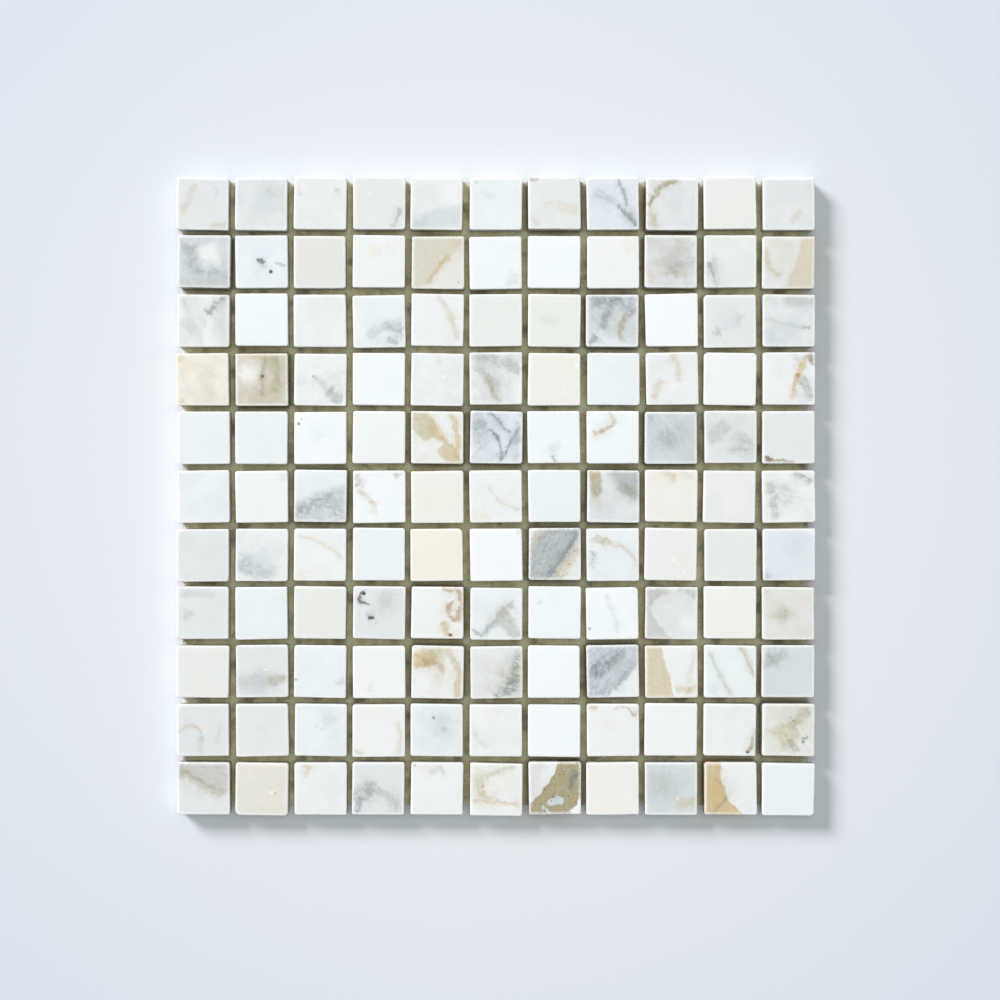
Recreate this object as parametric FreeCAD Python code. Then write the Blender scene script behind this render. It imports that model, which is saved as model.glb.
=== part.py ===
import FreeCAD, Part

# Mesh-mounted mosaic sheet of square marble chips, lying face up, in millimetres.
#
# The chips stand in straight rows and columns with open joints between them. A film of adhesive holds
# them on a net of flat glass yarns, which is the underside of the sheet. Film and net stop a little short
# of the chips' outline, and are laid nearer to row 1 than to the last row. The origin is at the middle of
# the underside, +Z points out of the chips' faces, +X towards the last column and +Y towards row 1.

import math
import os
import random

# Chips and the joints between them
COLUMNS = 11
ROWS = 11
CHIP_SIDE = 25.0
CHIP_THICKNESS = 9.3
JOINT_WIDTH = 3.0

# Worn edges of a chip: its upright corners, and the arris round its face
CORNER_RADIUS_LEAST = 0.6
CORNER_RADIUS_MOST = 1.3
ARRIS_RADIUS = 0.4
ARRIS_SHARE_OF_CORNER = 0.9

# How far a chip strays from the grid, turns in its place and is out of square
STRAY_SHIFT = 0.33
STRAY_TURN_DEG = 0.9
STRAY_CORNER = 0.16
LAYING_SEED = 41

# Adhesive film and glass net, and how far both stop short of the chips' outline at each side
INSET_LEFT = 1.4
INSET_RIGHT = 2.2
INSET_UPPER = 0.9
INSET_LOWER = 3.6
FILM_THICKNESS = 0.3
NET_THICKNESS = 0.4
YARN_PITCH = 6.0
YARN_WIDTH = 1.0
NET_PANELS_EACH_WAY = 4

# Corners that lost more stone than the rest, as row, column and corner, with the radius left there.
# Rows count down and columns count across from the top left chip.
CORNERS = ("lower_left", "lower_right", "upper_right", "upper_left")
BROKEN_CORNERS = {
    (3, 10, "upper_left"): 2.0,
    (4, 10, "upper_left"): 1.9,
    (4, 10, "upper_right"): 1.8,
    (7, 1, "upper_left"): 2.0,
    (7, 5, "upper_right"): 2.3,
    (8, 8, "upper_right"): 2.2,
    (10, 10, "upper_right"): 1.8,
    (11, 2, "lower_left"): 2.6,
    (11, 2, "lower_right"): 1.7,
    (11, 11, "lower_right"): 1.8,
}

# Worked out from the sizes above
PITCH = CHIP_SIDE + JOINT_WIDTH
SHEET_WIDTH = COLUMNS * PITCH - JOINT_WIDTH
SHEET_LENGTH = ROWS * PITCH - JOINT_WIDTH
BACKING_LEFT = INSET_LEFT - SHEET_WIDTH / 2
BACKING_RIGHT = SHEET_WIDTH / 2 - INSET_RIGHT
BACKING_LOWER = INSET_LOWER - SHEET_LENGTH / 2
BACKING_UPPER = SHEET_LENGTH / 2 - INSET_UPPER
NET_BOTTOM = 0.0
FILM_BOTTOM = NET_BOTTOM + NET_THICKNESS
CHIP_BOTTOM = FILM_BOTTOM + FILM_THICKNESS


def chip_middle(row, column):
    """The place on the grid of a chip's middle."""
    x = (column - (COLUMNS + 1) / 2) * PITCH
    y = ((ROWS + 1) / 2 - row) * PITCH
    return x, y


def chip_corners(row, column, chance):
    """The four sharp corners of a chip's underside as laid, in the order of CORNERS."""
    x, y = chip_middle(row, column)
    x += chance.uniform(-STRAY_SHIFT, STRAY_SHIFT)
    y += chance.uniform(-STRAY_SHIFT, STRAY_SHIFT)
    turn = math.radians(chance.uniform(-STRAY_TURN_DEG, STRAY_TURN_DEG))
    corners = []
    for right, up in ((-1, -1), (1, -1), (1, 1), (-1, 1)):
        across = right * CHIP_SIDE / 2 + chance.uniform(-STRAY_CORNER, STRAY_CORNER)
        along = up * CHIP_SIDE / 2 + chance.uniform(-STRAY_CORNER, STRAY_CORNER)
        corner_x = x + across * math.cos(turn) - along * math.sin(turn)
        corner_y = y + across * math.sin(turn) + along * math.cos(turn)
        corners.append(FreeCAD.Vector(corner_x, corner_y, CHIP_BOTTOM))
    return corners


def upright_edge(chip, corner):
    """The edge of the chip that stands on a sharp corner of its underside."""
    above = corner + FreeCAD.Vector(0, 0, CHIP_THICKNESS)
    middle = Part.Vertex((corner + above) / 2)
    return min(chip.Edges, key=lambda edge: edge.distToShape(middle)[0])


def edges_round_face(chip):
    """The edges round the upper face."""
    middle = CHIP_BOTTOM + CHIP_THICKNESS / 2
    return [edge for edge in chip.Edges if all(vertex.Z > middle for vertex in edge.Vertexes)]


def make_chip(row, column):
    """One sawn chip, its upright corners rounded and the arris round its face rubbed down."""
    chance = random.Random(f"{LAYING_SEED} {row} {column}")
    corners = chip_corners(row, column, chance)
    outline = Part.Face(Part.makePolygon(corners + corners[:1]))
    chip = outline.extrude(FreeCAD.Vector(0, 0, CHIP_THICKNESS))
    radii = []
    for name, corner in zip(CORNERS, corners):
        usual = chance.uniform(CORNER_RADIUS_LEAST, CORNER_RADIUS_MOST)
        radius = BROKEN_CORNERS.get((row, column, name), usual)
        chip = chip.makeFillet(radius, [upright_edge(chip, corner)])
        radii.append(radius)
    arris = min(ARRIS_RADIUS, ARRIS_SHARE_OF_CORNER * min(radii))
    return chip.makeFillet(arris, edges_round_face(chip))


def lay_chips():
    """The chips of every row, moved together so that the sheet's box is centred on the origin."""
    rows = {}
    for row in range(1, ROWS + 1):
        rows[row] = [make_chip(row, column) for column in range(1, COLUMNS + 1)]
    every_chip = [chip for chips in rows.values() for chip in chips]
    box = Part.makeCompound(every_chip).BoundBox
    for chip in every_chip:
        chip.translate(FreeCAD.Vector(-box.Center.x, -box.Center.y, 0))
    return rows


def make_film():
    """The film of adhesive that joins the chips to the net."""
    corner = FreeCAD.Vector(BACKING_LEFT, BACKING_LOWER, FILM_BOTTOM)
    return Part.makeBox(BACKING_RIGHT - BACKING_LEFT, BACKING_UPPER - BACKING_LOWER, FILM_THICKNESS, corner)


def yarn_places(start, end):
    """Middles of the yarns laid side by side between two edges of the backing, with one at zero."""
    first = math.ceil((start + YARN_WIDTH / 2) / YARN_PITCH)
    last = math.floor((end - YARN_WIDTH / 2) / YARN_PITCH)
    return [step * YARN_PITCH for step in range(first, last + 1)]


def net_shares(start, end):
    """The yarns of each panel between two edges, as middles, with the two cuts that end the panel."""
    places = yarn_places(start, end)
    ends = [round(share * len(places) / NET_PANELS_EACH_WAY) for share in range(NET_PANELS_EACH_WAY + 1)]
    runs = [places[first:last] for first, last in zip(ends, ends[1:])]
    cuts = [(run[-1] + after[0]) / 2 for run, after in zip(runs, runs[1:])]
    cuts = [start] + cuts + [end]
    return list(zip(runs, cuts, cuts[1:]))


def closed_wire(points):
    """A closed outline through points of the net's underside."""
    corners = [FreeCAD.Vector(x, y, NET_BOTTOM) for x, y in points]
    return Part.makePolygon(corners + corners[:1])


def net_outline(warps, wefts, left, right, lower, upper):
    """Round a panel of net, out and back along the end of each yarn that sticks out."""
    half = YARN_WIDTH / 2
    first_x, last_x = warps[0] - half, warps[-1] + half
    first_y, last_y = wefts[0] - half, wefts[-1] + half
    points = []
    for x in warps:
        points += [(x - half, first_y), (x - half, lower), (x + half, lower), (x + half, first_y)]
    for y in wefts:
        points += [(last_x, y - half), (right, y - half), (right, y + half), (last_x, y + half)]
    for x in reversed(warps):
        points += [(x + half, last_y), (x + half, upper), (x - half, upper), (x - half, last_y)]
    for y in reversed(wefts):
        points += [(first_x, y + half), (left, y + half), (left, y - half), (first_x, y - half)]
    corners_once = [point for point, before in zip(points, points[-1:] + points) if point != before]
    return closed_wire(corners_once)


def net_holes(warps, wefts):
    """The outline of each hole between two warp yarns and two weft yarns."""
    half = YARN_WIDTH / 2
    holes = []
    for left, right in zip(warps, warps[1:]):
        for lower, upper in zip(wefts, wefts[1:]):
            holes.append(closed_wire([
                (left + half, lower + half),
                (left + half, upper - half),
                (right - half, upper - half),
                (right - half, lower + half),
            ]))
    return holes


def make_net_panel(share_across, share_along):
    """One panel of the net: flat yarns both ways, bonded where they cross."""
    warps, left, right = share_across
    wefts, lower, upper = share_along
    outline = net_outline(warps, wefts, left, right, lower, upper)
    net = Part.Face([outline] + net_holes(warps, wefts))
    return net.extrude(FreeCAD.Vector(0, 0, NET_THICKNESS))


def main():
    os.makedirs("parts", exist_ok=True)
    for row, chips in lay_chips().items():
        Part.makeCompound(chips).exportStep(f"parts/marble_chips_row_{row:02d}.step")
    make_film().exportStep("parts/adhesive_film.step")
    shares_along = net_shares(BACKING_LOWER, BACKING_UPPER)
    for across, share_across in enumerate(net_shares(BACKING_LEFT, BACKING_RIGHT), start=1):
        for along, share_along in enumerate(shares_along, start=1):
            make_net_panel(share_across, share_along).exportStep(f"parts/glass_net_{across}_{along}.step")


main()
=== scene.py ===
import math
import random

import bpy
import numpy as np
from mathutils import Matrix, Vector


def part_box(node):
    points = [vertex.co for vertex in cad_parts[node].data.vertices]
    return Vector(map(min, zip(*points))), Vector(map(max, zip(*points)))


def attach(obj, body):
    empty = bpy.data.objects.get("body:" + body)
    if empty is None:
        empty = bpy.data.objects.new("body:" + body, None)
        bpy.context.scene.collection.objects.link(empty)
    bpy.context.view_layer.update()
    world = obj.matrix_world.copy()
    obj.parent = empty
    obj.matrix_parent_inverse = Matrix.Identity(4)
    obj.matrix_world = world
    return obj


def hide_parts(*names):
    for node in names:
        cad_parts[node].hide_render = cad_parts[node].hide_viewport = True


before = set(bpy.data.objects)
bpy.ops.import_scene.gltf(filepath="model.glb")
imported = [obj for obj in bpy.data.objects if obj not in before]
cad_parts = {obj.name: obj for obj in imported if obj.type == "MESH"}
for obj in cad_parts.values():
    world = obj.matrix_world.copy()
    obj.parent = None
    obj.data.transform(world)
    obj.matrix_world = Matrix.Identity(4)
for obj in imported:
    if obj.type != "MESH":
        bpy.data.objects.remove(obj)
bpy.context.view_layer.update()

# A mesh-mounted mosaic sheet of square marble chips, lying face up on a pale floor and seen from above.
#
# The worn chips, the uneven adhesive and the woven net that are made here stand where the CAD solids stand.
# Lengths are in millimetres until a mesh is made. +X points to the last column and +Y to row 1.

MM = 0.001

# The sheet, as in the CAD
COLUMNS = 11
ROWS = 11
PITCH = 28.0
CHIP_SIDE = 25.0
CHIP_BOTTOM = 0.7
CHIP_TOP = 10.0
FILM_BOTTOM = 0.4
YARN_PITCH = 6.0
YARN_WIDTH = 1.0
NET_THICKNESS = 0.4

# Chips: the steps of their meshes, and their wear
SIDE_STEP = 0.75
ARC_STEP = 0.22
WALL_LEVELS = (0.0, 0.25, 0.5, 0.75, 0.93)
ARRIS_ANGLES = (0.0, 22.5, 45.0, 67.5, 90.0)
# Where the pale rim fades out, in from the edge: partly rubbed wear, partly a painted highlight
PALE_RIM_INSET = 1.0
PALE_RIM_END_INSET = 1.7
FACE_SHARES = (0.6, 0.28)
ARRIS_LEAST = 0.22
ARRIS_MOST = 0.52
NICK_DEPTH = 0.42
NICKS_MOST = 3
SAW_WANDER = 0.05
HEIGHT_SPREAD = 0.07
TILT_SPREAD = 0.05
HONED_DOME = 0.03

FACING = 2.5
KINDS = {"rim": "FLOAT", "joint": "FLOAT", "face": "FLOAT_VECTOR", "stone": "FLOAT_VECTOR"}
STROKES = 5
BOUNDARY_BEYOND = 0.8
HALO_REACH = 3.0
HALO_SHARE = 0.4


def srgb(red, green, blue):
    """A colour of three 0 to 255 screen values, as Blender's linear numbers."""
    def linear(value):
        share = value / 255
        return share / 12.92 if share <= 0.04045 else ((share + 0.055) / 1.055) ** 2.4
    return linear(red), linear(green), linear(blue)


# The colours of the marble's grounds, and of what is drawn in them
GROUNDS = {
    "bright": srgb(246, 252, 254),
    "frost": srgb(242, 250, 253),
    "cool": srgb(236, 244, 246),
    "white": srgb(240, 244, 244),
    "lavender": srgb(228, 235, 241),
    "chalk": srgb(234, 238, 235),
    "ivory": srgb(234, 237, 235),
    "warm": srgb(237, 239, 238),
    "cream": srgb(240, 240, 235),
    "butter": srgb(245, 241, 229),
    "peach": srgb(242, 242, 239),
    "greige": srgb(229, 231, 228),
    "light": srgb(230, 234, 235),
    "grey": srgb(219, 226, 229),
    "tan": srgb(217, 212, 197),
    "sand": srgb(233, 232, 225),
}
PAINTS = {
    "white": srgb(250, 251, 251),
    "haze": srgb(208, 217, 220),
    "slate": srgb(149, 163, 174),
    "ash": srgb(166, 174, 172),
    "taupe": srgb(186, 186, 177),
    "smoke": srgb(114, 127, 131),
    "coal": srgb(58, 61, 60),
    "blue": srgb(200, 210, 228),
    "green": srgb(172, 183, 172),
    "moss": srgb(136, 141, 117),
    "olive": srgb(160, 150, 112),
    "khaki": srgb(167, 155, 117),
    "tan": srgb(200, 190, 158),
    "sand": srgb(222, 216, 198),
    "gold": srgb(206, 180, 126),
    "rust": srgb(174, 134, 68),
    "brown": srgb(116, 96, 56),
    "peach": srgb(237, 229, 213),
    "cream": srgb(239, 237, 226),
    "apricot": srgb(210, 193, 157),
}
# Joint walls darken downwards from just below the face: partly adhesive smear, partly painted shade in the narrow
# joints
WALL_SMEAR_AND_SHADE_TINT = srgb(148, 134, 96)
SMEAR_AND_SHADE_LEAST, SMEAR_AND_SHADE_MOST = 0.1, 0.65
SMEAR_AND_SHADE_DEPTHS = 0.5, 2.4
UNDRAWN = (9.0, 9.0, 9.01, 9.0), (0.0, 0.001, 0.0, 0.0), (0.0, 0.0, 0.0, 0.0), (0.0, 0.0, 0.0, 0.0)


def stroke(paint, start, end, half, blur, strength, bend=0.0, wobble=0.1, mottle=0.3, streak=0.2, specks=0.0,
           fade=0.0):
    """One mark in a chip's face, where both ways run from -1 to 1, as the values that the marble reads."""
    line = (*start, end[0] + 0.002, end[1])
    return line, (half, blur, bend, wobble), (*PAINTS[paint], strength), (mottle, streak, specks, fade)


def vein(paint, start, middle, end, strength=0.6, half=0.01, blur=0.07, mottle=0.6, specks=0.0):
    """A curved mark through three places, with a faint wash of its colour beside it."""
    (ax, ay), (mx, my), (bx, by) = start, middle, end
    length = math.hypot(bx - ax, by - ay)
    bend = ((bx - ax) * (my - ay) - (by - ay) * (mx - ax)) / length
    return stroke(paint, start, end, half, blur, strength, bend, 0.14, mottle, 0.2, specks, fade=1.0)


def cloud(paint, place, reach, strength=0.4, mottle=0.4):
    """A soft round patch of colour."""
    return stroke(paint, place, place, reach * 0.1, reach * 0.8, strength, 0.0, 0.5, mottle, 0.0)


def band(paint, start, end, half, blur, strength=0.7, mottle=0.3, streak=0.2, specks=0.0):
    """A broad straight mark."""
    return stroke(paint, start, end, half, blur, strength, 0.0, 0.2, mottle, streak, specks)


def side(paint, start, middle, end, depth, blur=0.06, strength=0.7, mottle=0.3, streak=0.3, specks=0.0):
    """A patch as deep as given, to the right of a curved boundary that runs on past both its ends."""
    (ax, ay), (bx, by) = start, end
    length = math.hypot(bx - ax, by - ay)
    way = ((bx - ax) / length, (by - ay) / length)
    sag = way[0] * (middle[1] - ay) - way[1] * (middle[0] - ax)
    beyond = BOUNDARY_BEYOND / (length + 2 * BOUNDARY_BEYOND)
    arch_at_end = 4 * beyond * (1 - beyond)
    bend = sag / (1 - arch_at_end)
    shift = depth / 2 + bend * arch_at_end

    def place(corner, on):
        return (corner[0] + way[0] * on + way[1] * shift, corner[1] + way[1] * on - way[0] * shift)

    start, end = place(start, -BOUNDARY_BEYOND), place(end, BOUNDARY_BEYOND)
    return stroke(paint, start, end, (depth - blur) / 2, blur, strength, bend, 0.12, mottle, streak, specks)


def speck(paint, place, half=0.03, strength=0.8):
    """A small dark or light dot."""
    return stroke(paint, place, place, half * 0.6, half * 0.8, strength, 0.0, 0.05, 0.0, 0.0)


CHIPS = {}

# Chips with dark sides; the adhesive beside them gets painted shade, as they send less light into the joints
DARK_SIDED = (
    (1, 7), (1, 9), (2, 1), (2, 9), (3, 8), (4, 2), (5, 5), (5, 6), (5, 9), (6, 3), (6, 8), (7, 7), (8, 5),
    (9, 5), (9, 8), (10, 11), (11, 7), (11, 10),
)


def chip(row, column, ground, haze, clouding, veining, *strokes):
    """Enters a chip: its ground, the colour and amount of its clouds and its fine veins, and its strokes."""
    CHIPS[row, column] = ground, haze, clouding, veining, strokes


chip(1, 1, "light", "haze", 0.3, 0.2, vein("tan", (-0.25, 0.85), (-0.5, 0.3), (-0.85, -0.5), 0.45, 0.02, 0.1),
     band("tan", (0.35, -0.95), (0.85, -0.8), 0.03, 0.12, 0.5),
     vein("haze", (-0.2, 0.8), (0.3, 0.75), (0.6, 0.2)))
chip(1, 2, "light", "haze", 0.6, 0.2, cloud("haze", (0.3, 0.2), 0.8, 0.4),
     cloud("taupe", (0.5, 0.5), 0.3, 0.35))
chip(1, 3, "light", "white", 0.5, 0.1, cloud("apricot", (-0.8, 0.38), 0.14, 0.5),
     cloud("taupe", (0.64, 0.5), 0.16, 0.5))
chip(1, 4, "ivory", "haze", 0.2, 0.1,
     vein("moss", (0.85, -0.2), (0.7, -0.55), (0.47, -0.95), 0.6, 0.02, 0.07, 0.7),
     speck("white", (-0.35, 0.38), 0.05), cloud("taupe", (-0.85, -0.85), 0.12, 0.4))
chip(1, 5, "light", "white", 0.6, 0.2, band("slate", (-0.97, -0.9), (-0.4, -0.68), 0.04, 0.13, 0.6),
     band("haze", (-0.7, -0.8), (0.9, -0.4), 0.2, 0.3, 0.9))
chip(1, 6, "cool", "green", 0.1, 0.1, cloud("haze", (-0.3, 0.3), 0.25, 0.5),
     speck("ash", (-0.74, 0.83), 0.06, 0.4))
chip(1, 7, "ivory", "haze", 0.3, 0.1, band("olive", (-0.97, 0.98), (-0.7, 0.94), 0.03, 0.08, 0.9),
     band("sand", (0.2, -0.1), (0.9, -0.25), 0.1, 0.15, 0.6), cloud("tan", (-0.3, 0.0), 0.2, 0.35),
     vein("tan", (-0.97, -0.45), (-0.8, -0.65), (-0.6, -0.85), 0.35))
chip(1, 8, "lavender", "slate", 0.1, 0.2,
     vein("smoke", (0.17, 1.0), (0.38, 0.55), (0.5, -0.15), 0.8, 0.004, 0.05),
     vein("slate", (0.45, -0.1), (0.65, -0.45), (0.95, -0.85), 0.7, 0.02, 0.09),
     vein("smoke", (0.15, 0.02), (0.5, -0.4), (0.95, -0.9), 0.95, 0.008, 0.05),
     vein("slate", (-0.8, 0.45), (-0.3, 0.25), (0.2, -0.02), 0.5, 0.03, 0.14),
     cloud("slate", (0.7, -0.5), 0.5, 0.3))
chip(1, 9, "light", "haze", 0.6, 0.2,
     vein("olive", (0.3, 0.98), (-0.35, 0.7), (-0.7, 0.3), 1.0, 0.03, 0.08, 0.4),
     vein("olive", (-0.7, 0.35), (-0.85, 0.1), (-1.0, -0.1), 1.0, 0.03, 0.08, 0.4),
     band("tan", (-0.9, -0.35), (-0.65, -0.9), 0.08, 0.2, 0.8, 0.8), cloud("sand", (-0.65, 0.75), 0.4, 0.6),
     cloud("brown", (-0.75, -0.7), 0.2, 0.35, 0.9))
chip(1, 10, "ivory", "cream", 0.3, 0.1)
chip(1, 11, "light", "haze", 0.4, 0.2, vein("tan", (0.05, -0.72), (0.25, -0.5), (0.47, -0.3), 0.45))
chip(2, 1, "grey", "ash", 0.35, 0.3, cloud("white", (0.18, 0.25), 0.62, 0.75, 0.2),
     cloud("ash", (-0.62, 0.52), 0.45, 0.9, 0.4),
     vein("smoke", (-0.45, 0.5), (-0.4, -0.2), (0.1, -0.5), 0.5, 0.05, 0.14),
     vein("smoke", (0.05, -0.5), (0.5, -0.4), (0.97, -0.6), 0.45, 0.03, 0.1),
     band("ash", (-0.9, -0.85), (0.9, -0.8), 0.1, 0.2, 0.4))
chip(2, 2, "cool", "blue", 0.3, 0.1, band("coal", (-0.1, 0.08), (0.04, 0.0), 0.05, 0.06, 0.9, 0.2),
     band("slate", (0.02, -0.02), (0.06, -0.12), 0.03, 0.14, 0.5), speck("coal", (0.36, -0.37), 0.065, 0.95),
     band("slate", (0.62, -0.08), (0.9, -0.14), 0.02, 0.06, 0.6), speck("smoke", (0.2, -0.2), 0.03, 0.5))
chip(2, 3, "greige", "haze", 0.0, 0.1)
chip(2, 4, "white", "haze", 0.1, 0.1, cloud("peach", (-0.1, 0.45), 0.4, 0.6),
     cloud("peach", (0.5, 0.55), 0.3, 0.35))
chip(2, 5, "greige", "cream", 0.3, 0.1,
     side("tan", (0.95, 0.8), (0.15, -0.1), (-0.5, -0.85), 2.2, 0.1, 0.55, 0.3, 0.15),
     vein("gold", (0.5, 0.3), (0.1, -0.12), (-0.45, -0.85), 0.8, 0.02),
     cloud("apricot", (0.85, 0.6), 0.5, 0.55), cloud("gold", (0.15, -0.1), 0.16, 0.9),
     speck("brown", (0.8, -0.75), 0.025, 0.9))
chip(2, 6, "frost", "haze", 0.1, 0.1, cloud("haze", (0.7, -0.65), 0.45, 0.7))
chip(2, 7, "bright", "haze", 0.05, 0.0)
chip(2, 8, "white", "cream", 0.3, 0.1, cloud("peach", (0.6, 0.7), 0.45, 0.5))
chip(2, 9, "light", "taupe", 0.5, 0.3, cloud("taupe", (0.1, -0.25), 0.75, 0.95),
     cloud("taupe", (0.3, 0.5), 0.7, 0.6), vein("ash", (0.2, -0.2), (0.6, 0.0), (0.97, 0.1), 0.6, 0.03, 0.1),
     band("apricot", (-0.85, -0.45), (-0.75, -0.7), 0.08, 0.1, 0.5), cloud("olive", (0.05, -0.4), 0.35, 0.3))
chip(2, 10, "chalk", "haze", 0.3, 0.1,
     vein("smoke", (-0.85, 0.0), (-0.7, -0.4), (-0.5, -0.97), 0.75, 0.012, 0.05),
     cloud("ash", (-0.75, -0.2), 0.42, 0.6), cloud("haze", (-0.5, -0.8), 0.4, 0.7),
     cloud("white", (0.6, 0.6), 0.5, 0.4))
chip(2, 11, "greige", "haze", 0.2, 0.1,
     side("apricot", (-0.25, -1.0), (0.25, -0.1), (0.5, 1.0), 1.6, 0.13, 0.72, 0.2, 0.15),
     vein("tan", (-0.85, 0.6), (-0.8, -0.1), (-0.2, -0.6), 0.8, 0.035, 0.08),
     vein("sand", (-0.85, 0.8), (-0.3, 0.75), (0.3, 0.5), 0.7, 0.04, 0.1),
     cloud("sand", (-0.2, 0.3), 0.5, 0.5))
chip(3, 1, "white", "ash", 0.35, 0.3,
     vein("smoke", (0.15, 0.25), (0.3, 0.45), (0.92, 0.97), 0.8, 0.03, 0.07, 0.9),
     cloud("moss", (0.25, 0.38), 0.2, 0.8, 0.9),
     vein("ash", (-0.85, 0.1), (-0.5, -0.3), (-0.3, -0.6), 0.4, 0.04, 0.15),
     cloud("ash", (-0.7, 0.6), 0.3, 0.25))
chip(3, 2, "frost", "haze", 0.05, 0.0)
chip(3, 3, "white", "haze", 0.3, 0.1)
chip(3, 4, "cool", "haze", 0.2, 0.2, cloud("ash", (0.65, -0.2), 0.55, 0.5, 0.5),
     vein("slate", (-0.5, -0.65), (0.0, -0.3), (0.5, -0.05), 0.45, 0.05, 0.14),
     vein("smoke", (0.3, -0.6), (0.5, -0.8), (0.75, -0.85), 0.7, 0.03, 0.07),
     cloud("slate", (0.78, -0.35), 0.16, 0.8), vein("slate", (0.3, -0.15), (0.6, -0.35), (0.97, -0.25), 0.5))
chip(3, 5, "white", "haze", 0.2, 0.2, vein("tan", (-0.05, 1.0), (0.45, 0.3), (0.72, -0.9), 0.6, 0.02, 0.08),
     cloud("sand", (0.6, 0.1), 0.35, 0.5))
chip(3, 6, "chalk", "cream", 0.1, 0.0)
chip(3, 7, "chalk", "cream", 0.4, 0.1, vein("taupe", (-0.6, 0.1), (-0.2, 0.0), (0.2, 0.05), 0.25))
chip(3, 8, "lavender", "ash", 0.45, 0.4,
     vein("smoke", (-0.9, 0.65), (-0.2, 0.85), (0.5, 0.7), 0.85, 0.12, 0.16, 0.8),
     vein("smoke", (-0.1, 0.75), (-0.25, 0.2), (-0.42, -0.35), 0.7, 0.04, 0.1, 0.6),
     vein("olive", (0.92, 0.45), (0.42, 0.0), (0.37, -0.85), 0.85, 0.04, 0.08),
     cloud("slate", (0.7, 0.55), 0.5, 0.8),
     vein("smoke", (-0.6, -0.6), (-0.75, -0.75), (-0.9, -0.95), 0.8, 0.03))
chip(3, 9, "bright", "haze", 0.0, 0.0)
chip(3, 10, "light", "haze", 0.1, 0.2, cloud("slate", (0.3, 0.05), 0.3, 0.4),
     cloud("slate", (-0.45, -0.45), 0.22, 0.5), cloud("haze", (0.0, 0.0), 0.8, 0.4))
chip(3, 11, "light", "haze", 0.9, 0.2, band("ash", (0.0, 0.75), (0.95, 0.7), 0.06, 0.24, 0.5),
     vein("ash", (-0.95, 0.05), (0.0, -0.15), (0.75, -0.28), 0.5),
     band("smoke", (0.62, -0.25), (0.82, -0.28), 0.02, 0.05, 0.6))
chip(4, 1, "butter", "taupe", 0.4, 0.1, cloud("apricot", (-0.75, 0.4), 0.6, 0.25),
     cloud("gold", (-0.9, -0.9), 0.25, 0.5), cloud("gold", (-0.9, 0.95), 0.4, 0.5))
chip(4, 2, "tan", "olive", 0.35, 0.2, cloud("white", (-0.5, 0.2), 0.75, 0.75, 0.1),
     vein("brown", (0.1, 1.0), (0.06, 0.3), (0.02, -0.7), 0.45, 0.01, 0.08),
     vein("olive", (0.5, 1.0), (0.6, 0.4), (0.45, -0.6), 0.65, 0.03, 0.12),
     speck("brown", (0.05, 0.13), 0.055, 0.9), band("gold", (-0.9, 0.97), (0.9, 0.97), 0.02, 0.12, 0.5))
chip(4, 3, "white", "haze", 0.2, 0.2, speck("smoke", (-0.27, 0.13), 0.04, 0.7),
     vein("ash", (-0.27, 0.1), (0.1, -0.15), (0.5, -0.5), 0.5, 0.04, 0.12),
     vein("smoke", (0.25, -0.35), (0.5, -0.6), (0.8, -0.9), 0.6, 0.08, 0.14),
     cloud("haze", (-0.7, -0.1), 0.35, 0.5), cloud("haze", (0.6, 0.2), 0.4, 0.5))
chip(4, 4, "bright", "haze", 0.1, 0.0)
chip(4, 5, "white", "haze", 0.4, 0.1, cloud("haze", (0.6, 0.2), 0.6, 0.4),
     speck("white", (0.22, 0.12), 0.05, 0.9), cloud("taupe", (0.1, 0.72), 0.25, 0.35))
chip(4, 6, "white", "haze", 0.8, 0.3,
     vein("ash", (-0.98, 0.95), (-0.3, 0.82), (0.25, 0.62), 0.75, 0.05, 0.17, 0.4),
     vein("ash", (0.15, 0.66), (0.55, 0.52), (0.97, 0.2), 0.75, 0.05, 0.17, 0.4),
     vein("taupe", (-0.95, 0.55), (-0.35, 0.05), (0.02, -0.85), 0.95, 0.05, 0.18, 0.4),
     vein("olive", (-0.4, 0.1), (-0.15, -0.4), (0.15, -0.97), 0.6, 0.015),
     cloud("gold", (0.24, 0.64), 0.16, 0.6))
chip(4, 7, "cream", "cream", 0.3, 0.1, speck("white", (0.85, 0.55), 0.07, 0.9),
     speck("white", (0.38, -0.37), 0.05, 0.9), speck("white", (0.42, -0.53), 0.04, 0.7))
chip(4, 8, "cool", "haze", 0.15, 0.1)
chip(4, 9, "white", "haze", 0.3, 0.2, vein("tan", (0.0, 1.0), (0.2, 0.45), (0.25, -0.2), 0.62, 0.02, 0.08),
     vein("tan", (-0.35, 0.0), (-0.6, -0.35), (-0.68, -0.85), 0.65, 0.025, 0.09),
     cloud("sand", (0.05, 0.85), 0.25, 0.6))
chip(4, 10, "white", "white", 0.4, 0.1)
chip(4, 11, "white", "haze", 0.2, 0.2, cloud("ash", (0.25, 0.8), 0.35, 0.5),
     vein("ash", (0.4, 0.15), (0.65, -0.35), (0.85, -0.9), 0.9, 0.06, 0.1, 0.6),
     vein("gold", (0.75, 0.95), (0.32, 0.1), (0.12, -0.85), 0.95, 0.035, 0.06),
     band("brown", (0.68, 0.97), (0.95, 0.65), 0.05, 0.09, 0.9, 0.6), speck("rust", (0.33, 0.1), 0.08, 0.7))
chip(5, 1, "cool", "haze", 0.15, 0.0)
chip(5, 2, "cool", "haze", 0.1, 0.1)
chip(5, 3, "bright", "haze", 0.1, 0.1, speck("rust", (-0.83, 0.55), 0.055, 0.9),
     speck("gold", (-0.72, 0.73), 0.03, 0.6), cloud("haze", (-0.1, 0.1), 0.3, 0.25))
chip(5, 4, "white", "white", 0.4, 0.1)
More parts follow.
